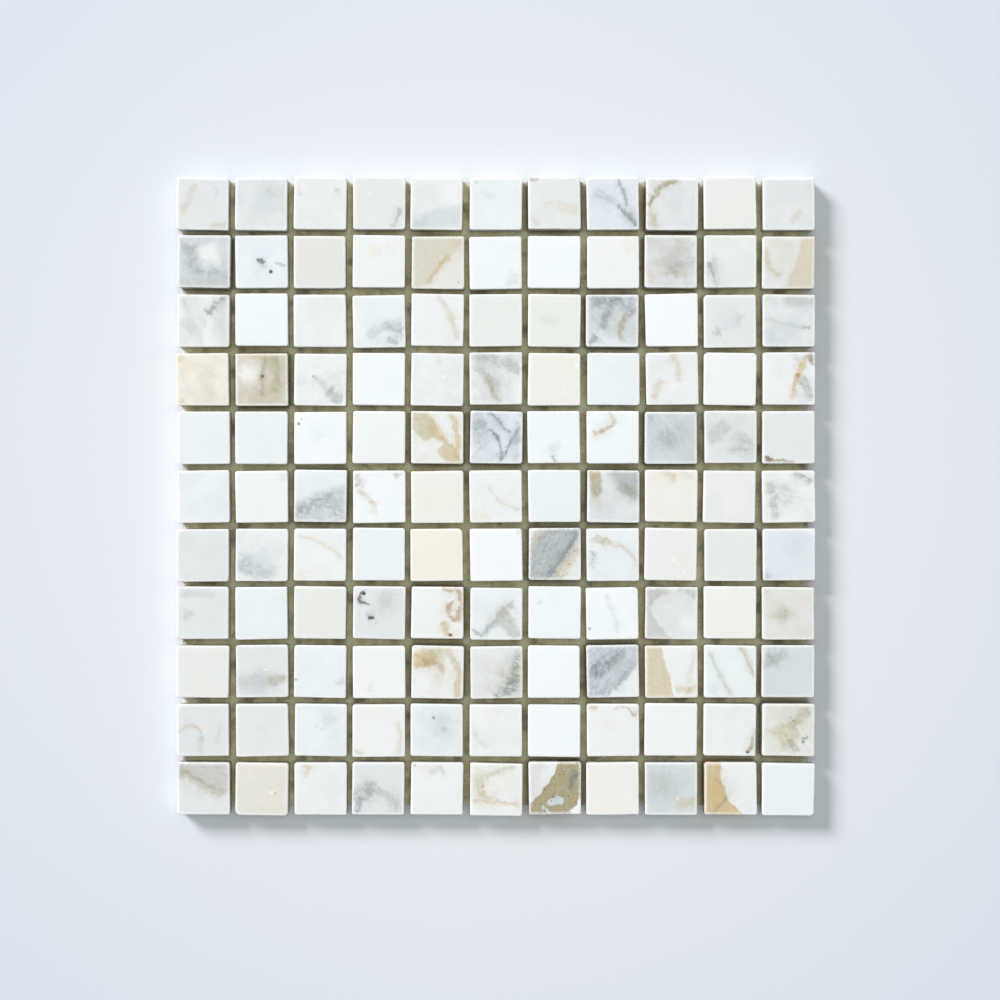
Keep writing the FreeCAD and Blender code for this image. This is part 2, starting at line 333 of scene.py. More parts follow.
chip(5, 5, "white", "sand", 0.45, 0.1, band("tan", (-0.8, 0.7), (-0.38, 0.3), 0.32, 0.1, 0.95, 0.35),
     band("gold", (-0.25, 0.3), (0.32, -0.12), 0.07, 0.09, 0.75),
     vein("gold", (-0.55, 1.0), (-0.1, 0.5), (0.35, -0.15), 0.7, 0.03),
     band("apricot", (0.32, -0.5), (0.62, -0.8), 0.24, 0.1, 1.0, 0.2),
     vein("gold", (0.48, 0.95), (0.74, 0.2), (0.68, -0.9), 0.8, 0.05, 0.06, 0.3))
chip(5, 6, "lavender", "slate", 0.35, 0.5,
     vein("smoke", (-0.35, 1.0), (0.1, 0.62), (0.55, 0.1), 0.95, 0.012, 0.045),
     vein("smoke", (0.95, 0.5), (0.58, -0.15), (0.2, -0.85), 0.85, 0.004, 0.04),
     vein("smoke", (-0.3, 0.35), (0.08, -0.1), (0.15, -0.98), 0.9, 0.01, 0.045),
     cloud("slate", (-0.7, 0.55), 0.6, 0.7, 0.7), cloud("slate", (0.8, 0.0), 0.5, 0.65, 0.7))
chip(5, 7, "frost", "haze", 0.1, 0.1, band("smoke", (-0.05, -0.75), (0.05, -0.92), 0.02, 0.09, 0.65),
     cloud("haze", (-0.05, -0.5), 0.4, 0.6))
chip(5, 8, "frost", "haze", 0.1, 0.1, vein("tan", (-0.15, 1.0), (0.03, 0.65), (-0.15, 0.33), 0.95, 0.025),
     vein("rust", (-0.05, 0.45), (-0.3, 0.3), (-0.85, 0.2), 0.85, 0.02),
     cloud("peach", (-0.75, 0.0), 0.35, 0.5))
chip(5, 9, "grey", "slate", 0.3, 0.4, cloud("ash", (-0.1, 0.05), 0.7, 0.45, 0.8),
     cloud("slate", (-0.7, 0.7), 0.5, 0.5), cloud("haze", (0.8, 0.6), 0.4, 0.6),
     band("smoke", (-0.3, -0.2), (0.3, 0.2), 0.2, 0.4, 0.25, 1.0, 0.0, 0.45))
chip(5, 10, "light", "haze", 0.45, 0.3,
     vein("taupe", (-0.85, -0.3), (-0.4, 0.25), (0.15, 0.45), 0.75, 0.08, 0.18, 0.6),
     vein("ash", (0.05, -0.75), (0.55, -0.35), (0.5, 0.25), 0.7, 0.1, 0.22, 0.8, 0.45),
     cloud("haze", (0.3, 0.6), 0.5, 0.6), cloud("peach", (0.3, 0.88), 0.25, 0.5))
chip(5, 11, "light", "haze", 0.0, 0.1, band("olive", (-0.75, -0.84), (0.15, -0.98), 0.04, 0.06, 1.0, 0.3),
     band("brown", (-0.82, -0.8), (-0.68, -0.84), 0.06, 0.08, 1.0, 0.35))
chip(6, 1, "cool", "green", 0.15, 0.0)
chip(6, 2, "white", "haze", 0.0, 0.0, cloud("taupe", (0.75, 0.75), 0.2, 0.3, 0.8))
chip(6, 3, "cool", "haze", 0.2, 0.2,
     side("ash", (-1.0, -0.25), (0.0, 0.12), (1.0, 0.35), 1.5, 0.25, 0.6, 0.6, 0.0, 0.25),
     band("smoke", (-0.9, -0.6), (0.5, 0.0), 0.08, 0.2, 0.6, 1.0),
     cloud("smoke", (0.7, -0.45), 0.5, 0.3, 1.0), cloud("haze", (0.25, -0.95), 0.4, 0.4))
chip(6, 4, "bright", "haze", 0.1, 0.2,
     vein("brown", (-0.95, 0.95), (-0.82, 0.6), (-0.92, 0.25), 0.5, 0.06, 0.12, 0.9),
     vein("rust", (-0.9, 0.3), (-0.5, 0.05), (-0.12, -0.45), 0.45), cloud("tan", (-0.2, -0.55), 0.25, 0.35),
     cloud("brown", (0.8, 0.85), 0.14, 0.5))
chip(6, 5, "cream", "cream", 0.3, 0.1)
chip(6, 6, "white", "haze", 0.15, 0.2, vein("tan", (-0.3, 0.45), (0.2, -0.2), (0.97, -0.5), 0.5, 0.0, 0.05),
     cloud("peach", (-0.6, -0.7), 0.35, 0.7))
chip(6, 7, "cool", "green", 0.05, 0.0)
chip(6, 8, "light", "haze", 0.6, 0.2, band("olive", (-0.7, 0.85), (-0.66, 0.2), 0.14, 0.14, 0.9, 0.4),
     cloud("gold", (-0.7, 0.75), 0.35, 0.6),
     side("ash", (1.1, -0.15), (0.3, 0.25), (-0.2, 1.1), 1.6, 0.35, 0.7, 0.0, 0.0),
     vein("moss", (0.1, 0.45), (0.5, 0.25), (0.97, -0.08), 0.65, 0.05, 0.14, 0.5),
     cloud("tan", (-0.6, -0.2), 0.35, 0.5))
chip(6, 9, "cream", "peach", 0.3, 0.1, vein("gold", (-0.4, 1.0), (-0.05, 0.8), (0.15, 0.48), 0.6, 0.03),
     cloud("apricot", (0.6, 0.8), 0.35, 0.35))
chip(6, 10, "warm", "haze", 0.3, 0.1)
chip(6, 11, "white", "green", 0.15, 0.3,
     vein("moss", (-0.8, 0.7), (-0.6, 0.0), (-0.55, -0.95), 0.6, 0.03, 0.14, 0.7),
     vein("moss", (0.2, 0.97), (0.6, 0.7), (0.98, 0.55), 0.7, 0.015, 0.08, 0.7),
     vein("ash", (-0.4, 0.6), (0.0, 0.1), (-0.2, -0.5), 0.4, 0.04, 0.18))
chip(7, 1, "light", "taupe", 0.12, 0.1)
chip(7, 2, "white", "haze", 0.35, 0.2, cloud("ash", (-0.65, -0.4), 0.4, 0.6, 0.7),
     vein("slate", (-0.97, -0.05), (-0.4, -0.5), (0.6, -0.85), 0.7, 0.06, 0.25, 0.8),
     cloud("haze", (0.0, -0.3), 0.8, 0.6))
chip(7, 3, "white", "haze", 0.15, 0.1, vein("gold", (-0.9, 0.72), (-0.1, 0.5), (0.92, -0.2), 0.45, 0.0, 0.06),
     cloud("peach", (-0.7, -0.8), 0.5, 0.5))
chip(7, 4, "cool", "haze", 0.05, 0.0)
chip(7, 5, "butter", "peach", 0.1, 0.0)
chip(7, 6, "bright", "haze", 0.0, 0.0, cloud("tan", (0.95, 0.9), 0.25, 0.5))
chip(7, 7, "ivory", "haze", 0.2, 0.1,
     band("slate", (-0.8, -0.75), (0.3, 0.9), 0.54, 0.16, 0.9, 0.4, 0.65, 0.5),
     band("ash", (-0.85, -0.95), (0.5, 1.0), 0.56, 0.2, 0.75, 0.2, 0.5),
     vein("smoke", (-0.25, -0.97), (0.3, -0.1), (0.95, 0.95), 0.75, 0.01, 0.08),
     vein("khaki", (-0.4, 1.0), (-0.75, 0.6), (-0.97, 0.1), 0.6, 0.03, 0.1, 0.5),
     band("tan", (0.1, -0.97), (0.9, 0.25), 0.08, 0.14, 0.85, 0.5, 0.3, 0.9))
chip(7, 8, "cool", "haze", 0.2, 0.2,
     vein("tan", (-0.9, 0.6), (-0.3, 0.5), (0.3, 0.35), 0.75, 0.04, 0.09, 0.9),
     vein("gold", (0.2, 0.4), (0.65, 0.1), (0.92, -0.5), 0.65, 0.01, 0.05),
     cloud("slate", (-0.8, 0.0), 0.24, 0.7, 0.8), cloud("ash", (-0.75, -0.3), 0.2, 0.5),
     cloud("rust", (-0.35, 0.55), 0.12, 0.5))
chip(7, 9, "warm", "cream", 0.2, 0.1, speck("white", (0.08, -0.24), 0.05, 0.9),
     speck("white", (0.5, -0.66), 0.05, 0.9), speck("white", (0.2, -0.4), 0.03, 0.8))
chip(7, 10, "chalk", "haze", 0.2, 0.1)
chip(7, 11, "lavender", "blue", 0.15, 0.1, cloud("slate", (-0.85, -0.85), 0.35, 0.6),
     cloud("blue", (0.3, 0.4), 0.7, 0.4), cloud("white", (0.9, 0.9), 0.3, 0.5))
chip(8, 1, "light", "haze", 0.3, 0.2, band("taupe", (-0.7, 0.72), (0.4, 0.68), 0.04, 0.12, 0.4, 0.8),
     cloud("slate", (-0.55, -0.05), 0.3, 0.35))
chip(8, 2, "cool", "haze", 0.15, 0.1)
chip(8, 3, "ivory", "cream", 0.3, 0.1)
chip(8, 4, "light", "haze", 0.2, 0.1, cloud("ash", (0.25, 0.45), 0.65, 0.45),
     cloud("slate", (-0.35, -0.2), 0.35, 0.6),
     vein("coal", (-0.6, 0.85), (-0.82, 0.5), (-0.42, 0.3), 1.0, 0.03, 0.03, 0.2),
     speck("coal", (-0.62, 0.72), 0.06, 1.0),
     band("coal", (-0.4, -0.24), (-0.22, -0.2), 0.045, 0.03, 1.0, 0.2))
chip(8, 5, "white", "cream", 0.3, 0.2, vein("rust", (0.15, 1.0), (0.55, 0.88), (0.9, 0.9), 0.85, 0.03),
     vein("rust", (0.8, 0.95), (0.97, 0.3), (0.68, -0.4), 0.95, 0.06, 0.08, 0.5),
     vein("rust", (0.65, 0.5), (0.42, 0.05), (0.7, -0.35), 0.85, 0.02, 0.07, 0.5),
     vein("gold", (0.22, -0.3), (0.35, -0.7), (0.58, -0.97), 0.95, 0.04, 0.09, 0.5),
     speck("coal", (0.5, -0.84), 0.055, 0.95))
chip(8, 6, "cool", "haze", 0.2, 0.2,
     vein("ash", (-0.97, -0.6), (-0.65, -0.8), (-0.25, -0.55), 0.9, 0.03, 0.08),
     vein("smoke", (-0.35, -0.62), (0.0, -0.2), (0.78, 0.55), 0.6, 0.01, 0.08),
     vein("taupe", (-0.2, -0.45), (0.15, -0.1), (0.7, 0.4), 0.8, 0.06, 0.12),
     band("taupe", (0.25, -0.05), (0.75, -0.9), 0.12, 0.2, 0.85, 0.35, 0.3))
chip(8, 7, "frost", "haze", 0.1, 0.1, band("taupe", (-0.65, 0.3), (-0.5, 0.45), 0.01, 0.05, 0.4))
chip(8, 8, "bright", "haze", 0.15, 0.2,
     vein("ash", (-0.3, 0.8), (-0.02, 0.1), (0.25, -0.85), 0.28, 0.01, 0.08),
     speck("smoke", (-0.9, -0.6), 0.06, 0.6))
chip(8, 9, "light", "haze", 0.2, 0.1,
     side("taupe", (-0.85, 0.3), (-0.5, -0.4), (0.05, -1.0), 1.2, 0.08, 0.7, 0.25, 0.2),
     vein("taupe", (-0.9, 0.2), (-0.6, 0.78), (0.05, 0.95), 0.9, 0.14, 0.1, 0.2),
     vein("taupe", (0.2, 1.0), (0.6, 0.85), (0.98, 0.6), 0.8, 0.06, 0.1),
     cloud("white", (0.7, -0.4), 0.6, 0.5))
chip(8, 10, "peach", "cream", 0.2, 0.1)
chip(8, 11, "greige", "tan", 0.2, 0.1, cloud("khaki", (-0.2, -0.05), 0.5, 0.6),
     cloud("tan", (-0.8, 0.8), 0.3, 0.3))
chip(9, 1, "ivory", "cream", 0.3, 0.1)
chip(9, 2, "light", "haze", 0.3, 0.2, band("ash", (-0.9, -0.4), (0.3, -0.35), 0.12, 0.28, 0.4, 0.2),
     band("olive", (0.4, -0.35), (0.85, -0.28), 0.06, 0.18, 0.6, 0.5),
     cloud("slate", (-0.1, -0.7), 0.8, 0.22), speck("white", (0.15, 0.05), 0.04, 0.9))
chip(9, 3, "cool", "haze", 0.15, 0.1, speck("coal", (-0.96, -0.33), 0.05, 0.7),
     vein("ash", (0.6, -0.5), (0.8, -0.4), (0.97, -0.3), 0.45))
chip(9, 4, "white", "white", 0.3, 0.2, cloud("taupe", (-0.4, -0.55), 0.25, 0.4, 0.8))
chip(9, 5, "white", "sand", 0.5, 0.1, band("gold", (-0.97, 0.45), (-0.25, 0.5), 0.22, 0.12, 0.95, 0.4),
     vein("rust", (-0.8, 0.3), (-0.1, 0.35), (0.3, 0.0), 0.6, 0.05, 0.12),
     vein("tan", (-0.7, 1.0), (-0.2, 0.7), (0.35, 0.97), 0.8, 0.1, 0.12, 0.6),
     vein("tan", (0.25, 0.95), (0.6, 0.5), (0.8, -0.15), 0.8, 0.04, 0.07, 0.5),
     band("apricot", (0.82, -0.2), (0.75, -0.9), 0.07, 0.09, 0.95, 0.4))
chip(9, 6, "ivory", "taupe", 0.3, 0.2, cloud("taupe", (0.65, -0.3), 0.8, 0.7),
     vein("moss", (0.92, 0.95), (0.72, 0.0), (0.45, -0.7), 0.8, 0.07, 0.16, 1.0, 0.7),
     vein("smoke", (0.75, -0.3), (0.45, -0.72), (-0.15, -0.97), 0.95, 0.07, 0.13, 1.0, 0.7))
chip(9, 7, "bright", "haze", 0.0, 0.0)
chip(9, 8, "cool", "haze", 0.2, 0.1,
     side("slate", (0.98, 0.35), (0.45, -0.2), (-0.05, -0.8), 1.75, 0.06, 0.9, 0.4, 0.5),
     band("smoke", (-0.6, 0.0), (0.25, 0.5), 0.16, 0.2, 0.8, 0.8, 0.3, 0.5),
     vein("haze", (-0.6, -0.6), (0.1, 0.1), (0.9, 0.9), 0.8, 0.05, 0.09),
     vein("haze", (-0.9, 0.3), (-0.5, 0.7), (0.1, 0.95), 0.5, 0.03, 0.08),
     vein("smoke", (0.05, -0.75), (0.5, -0.2), (0.95, 0.3), 0.6))
chip(9, 9, "white", "haze", 0.1, 0.1,
     side("apricot", (-0.42, 1.0), (-0.18, 0.1), (0.1, -0.95), 1.5, 0.04, 0.9, 0.2, 0.2),
     vein("gold", (0.15, -0.62), (0.55, -0.7), (0.97, -0.5), 0.75, 0.02),
     cloud("gold", (0.75, -0.78), 0.2, 0.6), vein("sand", (0.95, 0.95), (0.78, 0.2), (0.6, -0.5), 0.75, 0.02))
chip(9, 10, "cool", "haze", 0.15, 0.2,
     vein("taupe", (-0.78, 0.85), (-0.42, -0.1), (0.15, -0.98), 0.65, 0.01, 0.06),
     vein("rust", (0.3, 1.0), (0.65, 0.4), (0.97, -0.3), 0.6, 0.01, 0.05),
     vein("tan", (0.45, 1.0), (0.7, 0.55), (0.9, 0.1), 0.5), cloud("haze", (-0.6, -0.7), 0.35, 0.4))
chip(9, 11, "grey", "haze", 0.5, 0.2, cloud("ash", (-0.7, 0.45), 0.4, 0.8),
     vein("ash", (-0.8, 0.4), (-0.4, 0.5), (0.0, 0.9), 0.7, 0.04, 0.2))
chip(10, 1, "light", "haze", 0.3, 0.2,
     vein("tan", (-1.0, -0.2), (-0.45, 0.2), (0.07, -0.25), 0.8, 0.01, 0.05),
     vein("ash", (0.0, -0.2), (-0.05, -0.5), (0.0, -0.95), 0.4),
     vein("tan", (0.5, -0.55), (0.6, -0.2), (0.7, 0.3), 0.3))
chip(10, 2, "ivory", "haze", 0.25, 0.1)
chip(10, 3, "cool", "haze", 0.3, 0.2, cloud("smoke", (0.05, 0.1), 0.1, 0.35),
     cloud("haze", (0.3, 0.4), 0.4, 0.6))
chip(10, 4, "white", "cream", 0.3, 0.1, vein("tan", (-0.97, -0.5), (-0.85, -0.8), (-0.6, -0.97), 0.6),
     vein("tan", (0.7, 0.4), (0.8, -0.2), (0.75, -0.95), 0.45))
chip(10, 5, "cool", "haze", 0.3, 0.1, cloud("slate", (0.25, 0.2), 0.8, 0.28),
     speck("smoke", (-0.12, 0.47), 0.05, 0.7), cloud("slate", (0.2, 0.17), 0.2, 0.4))
chip(10, 6, "white", "haze", 0.35, 0.1, vein("tan", (-0.9, 0.0), (-0.6, -0.4), (-0.3, -0.7), 0.35),
     cloud("peach", (-0.2, 0.6), 0.6, 0.25))
chip(10, 7, "bright", "haze", 0.0, 0.0)
chip(10, 8, "white", "haze", 0.1, 0.1, band("apricot", (-0.97, 0.92), (-0.7, 0.88), 0.05, 0.1, 0.9),
     vein("rust", (0.05, 0.85), (0.5, 0.87), (0.78, 0.6), 0.75, 0.01, 0.045),
     vein("rust", (0.7, 0.62), (0.85, 0.58), (0.98, 0.7), 0.75), cloud("peach", (-0.2, 0.2), 0.35, 0.35))
chip(10, 9, "white", "white", 0.3, 0.0)
chip(10, 10, "white", "haze", 0.3, 0.1,
     vein("olive", (0.97, 0.0), (0.88, -0.5), (0.62, -0.95), 0.95, 0.02, 0.05, 0.6),
     speck("coal", (0.67, -0.88), 0.05, 0.85))
chip(10, 11, "ivory", "tan", 0.4, 0.2,
     vein("tan", (-0.9, 0.1), (-0.1, 0.15), (-0.3, -0.95), 0.85, 0.2, 0.28, 0.6),
     vein("olive", (0.92, 0.9), (0.5, 0.55), (0.0, 0.1), 0.6, 0.05, 0.12, 0.7),
     cloud("smoke", (0.18, 0.46), 0.14, 0.9), cloud("smoke", (0.62, -0.4), 0.15, 1.0),
     vein("moss", (0.0, -0.3), (0.2, -0.6), (0.38, -0.85), 0.6, 0.02, 0.09, 0.6))
chip(11, 1, "light", "haze", 0.1, 0.1,
     side("taupe", (1.0, -0.2), (-0.1, 0.2), (-1.0, 0.8), 1.9, 0.12, 0.8, 0.2, 0.4),
     vein("olive", (-0.97, 0.8), (-0.2, 0.22), (0.97, -0.25), 0.6, 0.04, 0.12, 0.5),
     cloud("olive", (-0.85, 0.55), 0.4, 0.5))
chip(11, 2, "sand", "tan", 0.2, 0.0, speck("white", (0.38, -0.1), 0.06, 1.0),
     speck("white", (0.27, -0.07), 0.03, 1.0), speck("brown", (0.47, -0.13), 0.03, 0.6),
     cloud("peach", (0.4, -0.5), 0.6, 0.5))
chip(11, 3, "white", "haze", 0.3, 0.1, cloud("gold", (-0.57, 0.72), 0.28, 0.65))
chip(11, 4, "light", "haze", 0.2, 0.1, cloud("ash", (-0.4, -0.05), 0.5, 1.0, 0.3),
     cloud("smoke", (-0.92, -0.2), 0.3, 0.75, 0.7),
     vein("smoke", (-0.55, -0.3), (-0.75, -0.6), (-0.92, -0.97), 0.75, 0.03, 0.1, 0.7),
     vein("ash", (-0.15, 0.0), (0.4, -0.3), (0.8, -0.75), 0.6, 0.05, 0.13),
     cloud("taupe", (0.65, -0.75), 0.3, 0.6))
chip(11, 5, "white", "haze", 0.1, 0.0, cloud("taupe", (0.0, 0.72), 0.4, 0.5),
     speck("slate", (-0.85, 0.9), 0.06, 0.5), cloud("peach", (-0.4, 0.8), 0.35, 0.4))
chip(11, 6, "white", "sand", 0.4, 0.1, vein("tan", (0.85, 0.97), (0.2, 0.75), (-0.45, 0.5), 0.8, 0.02, 0.07),
     vein("tan", (-0.55, 0.65), (-0.65, 0.15), (-0.12, -0.4), 0.85, 0.05, 0.1, 0.6),
     vein("gold", (-0.97, -0.42), (-0.1, -0.45), (0.97, -0.6), 0.75, 0.02, 0.06),
     cloud("sand", (-0.7, 0.5), 0.45, 0.7), speck("olive", (-0.5, 0.15), 0.05, 0.5))
chip(11, 7, "white", "taupe", 0.35, 0.0,
     side("khaki", (-1.0, -0.6), (-0.25, 0.15), (0.12, 1.0), 1.75, 0.04, 1.0, 0.0, 0.15, 0.9),
     band("haze", (-0.12, -0.52), (0.2, -0.48), 0.14, 0.05, 1.0, 0.15, 0.0),
     band("haze", (-0.45, -0.72), (-0.3, -1.0), 0.04, 0.05, 0.95, 0.0, 0.0),
     vein("smoke", (0.98, 0.65), (0.74, 0.4), (0.58, -0.1), 1.0, 0.04, 0.045, 0.5),
     band("white", (0.75, -1.05), (1.05, -0.6), 0.17, 0.05, 1.0, 0.0, 0.0))
chip(11, 8, "peach", "peach", 0.25, 0.0)
chip(11, 9, "grey", "taupe", 0.15, 0.2, cloud("ash", (-0.3, 0.1), 1.0, 0.5),
     band("tan", (0.4, -0.6), (0.95, -0.5), 0.06, 0.2, 0.7), speck("white", (0.25, -0.38), 0.05, 0.55))
chip(11, 10, "white", "haze", 0.15, 0.1,
     side("gold", (-0.4, 1.0), (-0.28, -0.1), (0.55, -1.0), 1.9, 0.04, 0.95, 0.1, 0.15),
     vein("brown", (-0.63, 0.38), (-0.28, 0.05), (-0.2, -0.5), 0.6, 0.008, 0.045),
     vein("brown", (-0.2, -0.45), (-0.42, -0.65), (-0.72, -0.97), 0.55, 0.008, 0.045),
     cloud("gold", (-0.6, -0.1), 0.8, 0.6),
     vein("tan", (-0.95, 0.3), (-0.6, 0.5), (-0.45, 0.95), 0.5, 0.04, 0.1))
chip(11, 11, "cool", "haze", 0.0, 0.0)


def chip_outlines(node):
    """Round the underside of each chip in a row, left to right, as read from its CAD node in millimetres."""
    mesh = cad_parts[node].data
    points = np.empty(len(mesh.vertices) * 3)
    mesh.vertices.foreach_get("co", points)
    points = points.reshape(-1, 3) / MM
    low = np.unique(np.round(points[points[:, 2] < CHIP_BOTTOM + 0.01, :2], 4), axis=0)
    columns = np.floor(low[:, 0] / PITCH + COLUMNS / 2).astype(int)
    outlines = []
    for column in range(COLUMNS):
        corners = low[columns == column]
        away = corners - corners.mean(axis=0)
        outlines.append(corners[np.argsort(np.arctan2(away[:, 1], away[:, 0]))])
    return outlines


def evenly_stepped(outline):
    """The outline with its arcs thinned and its straight sides divided."""
    kept = [outline[0]]
    for point in outline[1:]:
        if math.dist(point, kept[-1]) > ARC_STEP:
            kept.append(point)
    stepped = []
    for start, end in zip(kept, kept[1:] + kept[:1]):
        steps = max(1, math.ceil(math.dist(start, end) / SIDE_STEP))
        stepped += [start + (end - start) * step / steps for step in range(steps)]
    return np.array(stepped)


def outward(outline):
    """The outward direction at each point of an outline that runs anticlockwise."""
    along = np.roll(outline, -1, axis=0) - np.roll(outline, 1, axis=0)
    along /= np.linalg.norm(along, axis=1)[:, None]
    return np.column_stack([along[:, 1], -along[:, 0]])


def wandering(turns, chance, waves):
    """A smooth closed wander between about -1 and 1 over turns that run from 0 to 1."""
    total = np.zeros_like(turns)
    for wave in waves:
        total += np.sin(2 * math.pi * (wave * turns + chance.random())) * chance.uniform(0.5, 1.0)
    return total / len(waves)


def worn_arris(turns, chance):
    """The arris radius round a chip: uneven, and deeper at a few nicks."""
    even = (ARRIS_LEAST + ARRIS_MOST) / 2
    spread = (ARRIS_MOST - ARRIS_LEAST) / 2
    radius = even + spread * wandering(turns, chance, (3, 7, 12, 19, 31))
    for _ in range(chance.randint(0, NICKS_MOST)):
        place, width = chance.random(), chance.uniform(0.004, 0.012)
        gap = np.abs((turns - place + 0.5) % 1 - 0.5)
        radius += NICK_DEPTH * chance.uniform(0.3, 1.0) * np.exp(-(gap / width) ** 2)
    return radius


def chip_rings(outline, chance):
    """Rings of points from a chip's underside up its walls, over its arris and in across its face."""
    middle = outline.mean(axis=0)
    out = outward(outline)
    turns = np.arange(len(outline)) / len(outline)
    arris = worn_arris(turns, chance)
    top = CHIP_TOP - abs(chance.gauss(0, HEIGHT_SPREAD)) - TILT_SPREAD
    tilt = np.array([chance.uniform(-TILT_SPREAD, TILT_SPREAD), chance.uniform(-TILT_SPREAD, TILT_SPREAD)])

    def face_height(points):
        across = (points - middle) / (CHIP_SIDE / 2)
        return top + across @ tilt / 2 - HONED_DOME * (across ** 2).sum(axis=1)

    rings, rims = [], []

    def add_ring(points, heights, rim):
        rings.append(np.column_stack([points, heights]))
        rims.append(np.full(len(points), rim))

    arris_foot = face_height(outline) - arris
    for share in WALL_LEVELS:
        wander = SAW_WANDER * (1 + wandering(turns, chance, (2, 5, 9))) / 2
        inset = wander if share > 0 else 0 * wander
        add_ring(outline - out * inset[:, None], CHIP_BOTTOM + (arris_foot - CHIP_BOTTOM) * share, 0.0)
    for degrees in ARRIS_ANGLES:
        angle = math.radians(degrees)
        points = outline - out * (arris * (1 - math.cos(angle)))[:, None]
        add_ring(points, face_height(points) - arris * (1 - math.sin(angle)), 0.6 if degrees == 0 else 1.0)
    half = CHIP_SIDE / 2
    # On the face the pale rim fades out: partly rubbed wear, partly a painted highlight
    for share, rim in ((1 - PALE_RIM_INSET / half, 0.45), (1 - PALE_RIM_END_INSET / half, 0.0)):
        points = middle + (outline - middle) * share
        add_ring(points, face_height(points), rim)
    for share in FACE_SHARES:
        points = middle + (outline - middle) * share
        add_ring(points, face_height(points), 0.0)
    return middle, rings, rims, face_height(middle[None, :])[0]


def ring_quads(ring_count, ring_size):
    """Quads between rings that follow each other, all anticlockwise seen from outside."""
    ring = np.arange(ring_size)
    after = (ring + 1) % ring_size
    quads = []
    for level in range(ring_count - 1):
        low, high = level * ring_size, (level + 1) * ring_size
        quads.append(np.column_stack([low + ring, low + after, high + after, high + ring]))
    return np.concatenate(quads)


def new_piece(name, points, quads, triangles, flat_triangles=0):
    """A mesh object from points in millimetres. The first triangles may be flat, all other faces are smooth."""
    mesh = bpy.data.meshes.new(name)
    mesh.vertices.add(len(points))
    mesh.vertices.foreach_set("co", (np.asarray(points) * MM).ravel())
    corners = np.concatenate([triangles.ravel(), quads.ravel()]).astype(np.int32)
    starts = np.concatenate([
        np.arange(len(triangles)) * 3,
        len(triangles) * 3 + np.arange(len(quads)) * 4,
    ]).astype(np.int32)
    mesh.loops.add(len(corners))
    mesh.loops.foreach_set("vertex_index", corners)
    mesh.polygons.add(len(starts))
    mesh.polygons.foreach_set("loop_start", starts)
    mesh.update(calc_edges=True)
    smooth = np.arange(len(starts)) >= flat_triangles
    mesh.polygons.foreach_set("use_smooth", smooth)
    piece = bpy.data.objects.new(name, mesh)
    bpy.context.scene.collection.objects.link(piece)
    return piece


def set_attribute(piece, name, kind, values):
    """Gives a mesh a named value at each of its points."""
    attribute = piece.data.attributes.new(name, kind, "POINT")
    key = {"FLOAT": "value", "FLOAT_VECTOR": "vector", "FLOAT_COLOR": "color"}[kind]
    attribute.data.foreach_set(key, np.ascontiguousarray(values, np.float32).ravel())


def random_turn(chance):
    """A rotation that puts a chip's block of stone any way round."""
    axis = Vector((chance.gauss(0, 1), chance.gauss(0, 1), chance.gauss(0, 1)))
    return np.array(Matrix.Rotation(chance.uniform(0, 2 * math.pi), 3, axis))


def beside_joint(ring):
    """1 at the points of a chip's outline that face a joint, and 0 at those on the sheet's outer edge."""
    beyond = np.abs(ring[:, :2] + outward(ring[:, :2]) * FACING)
    inside = (beyond[:, 0] < COLUMNS * PITCH / 2) & (beyond[:, 1] < ROWS * PITCH / 2)
    return inside.astype(float)


def make_chip_row(row):
    """All chips of a row as one piece, each with its own stone."""
    node = f"marble_chips_row_{row:02d}"
    points, quads, lids, floors = [], [], [], []
    values = {"rim": [], "joint": [], "face": [], "stone": [], "ground": [], "haze": []}
    for index in range(STROKES):
        for part in ("line", "shape", "paint", "grit"):
            values[f"{part}_{index}"] = []
    count = 0
    for column, outline in enumerate(chip_outlines(node), start=1):
        chance = random.Random(f"chip {row} {column}")
        middle, rings, rims, face_middle = chip_rings(evenly_stepped(outline), chance)
        size = len(rings[0])
        own = np.concatenate(rings + [[(*middle, CHIP_BOTTOM), (*middle, face_middle)]])
        under, over = len(own) - 2, len(own) - 1
        ring = np.arange(size)
        after = (ring + 1) % size
        last = (len(rings) - 1) * size
        quads.append(count + ring_quads(len(rings), size))
        floors.append(count + np.column_stack([after, ring, np.full(size, under)]))
        lids.append(count + np.column_stack([last + ring, last + after, np.full(size, over)]))
        points.append(own)
        count += len(own)

        ground, haze, clouding, veining, strokes = CHIPS.get((row, column), ("white", "haze", 0.2, 0.2, ()))
        face = np.column_stack([(own[:, :2] - middle) / (CHIP_SIDE / 2), CHIP_TOP - own[:, 2]])
        block = (own - (*middle, 0)) @ random_turn(chance).T + [chance.uniform(-900, 900) for _ in range(3)]
        values["rim"].append(np.concatenate(rims + [[0.0, 0.0]]))
        values["joint"].append(np.concatenate([np.tile(beside_joint(rings[0]), len(rings)), [0.0, 0.0]]))
        values["face"].append(face)
        values["stone"].append(block)
        values["ground"].append(np.tile((*GROUNDS[ground], clouding), (len(own), 1)))
        values["haze"].append(np.tile((*PAINTS[haze], veining), (len(own), 1)))
        marks = list(strokes) + [UNDRAWN] * (STROKES - len(strokes))
        for index, mark in enumerate(marks):
            for part, numbers in zip(("line", "shape", "paint", "grit"), mark):
                values[f"{part}_{index}"].append(np.tile(numbers, (len(own), 1)))

    floors = np.concatenate(floors)
    triangles = np.concatenate([floors, np.concatenate(lids)])
    piece = new_piece(f"chips_row_{row:02d}", np.concatenate(points), np.concatenate(quads), triangles, len(floors))
    for name, parts in values.items():
        kind = KINDS.get(name, "FLOAT_COLOR")
        set_attribute(piece, name, kind, np.concatenate(parts))
    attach(piece, "root")
    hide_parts(node)
    return piece


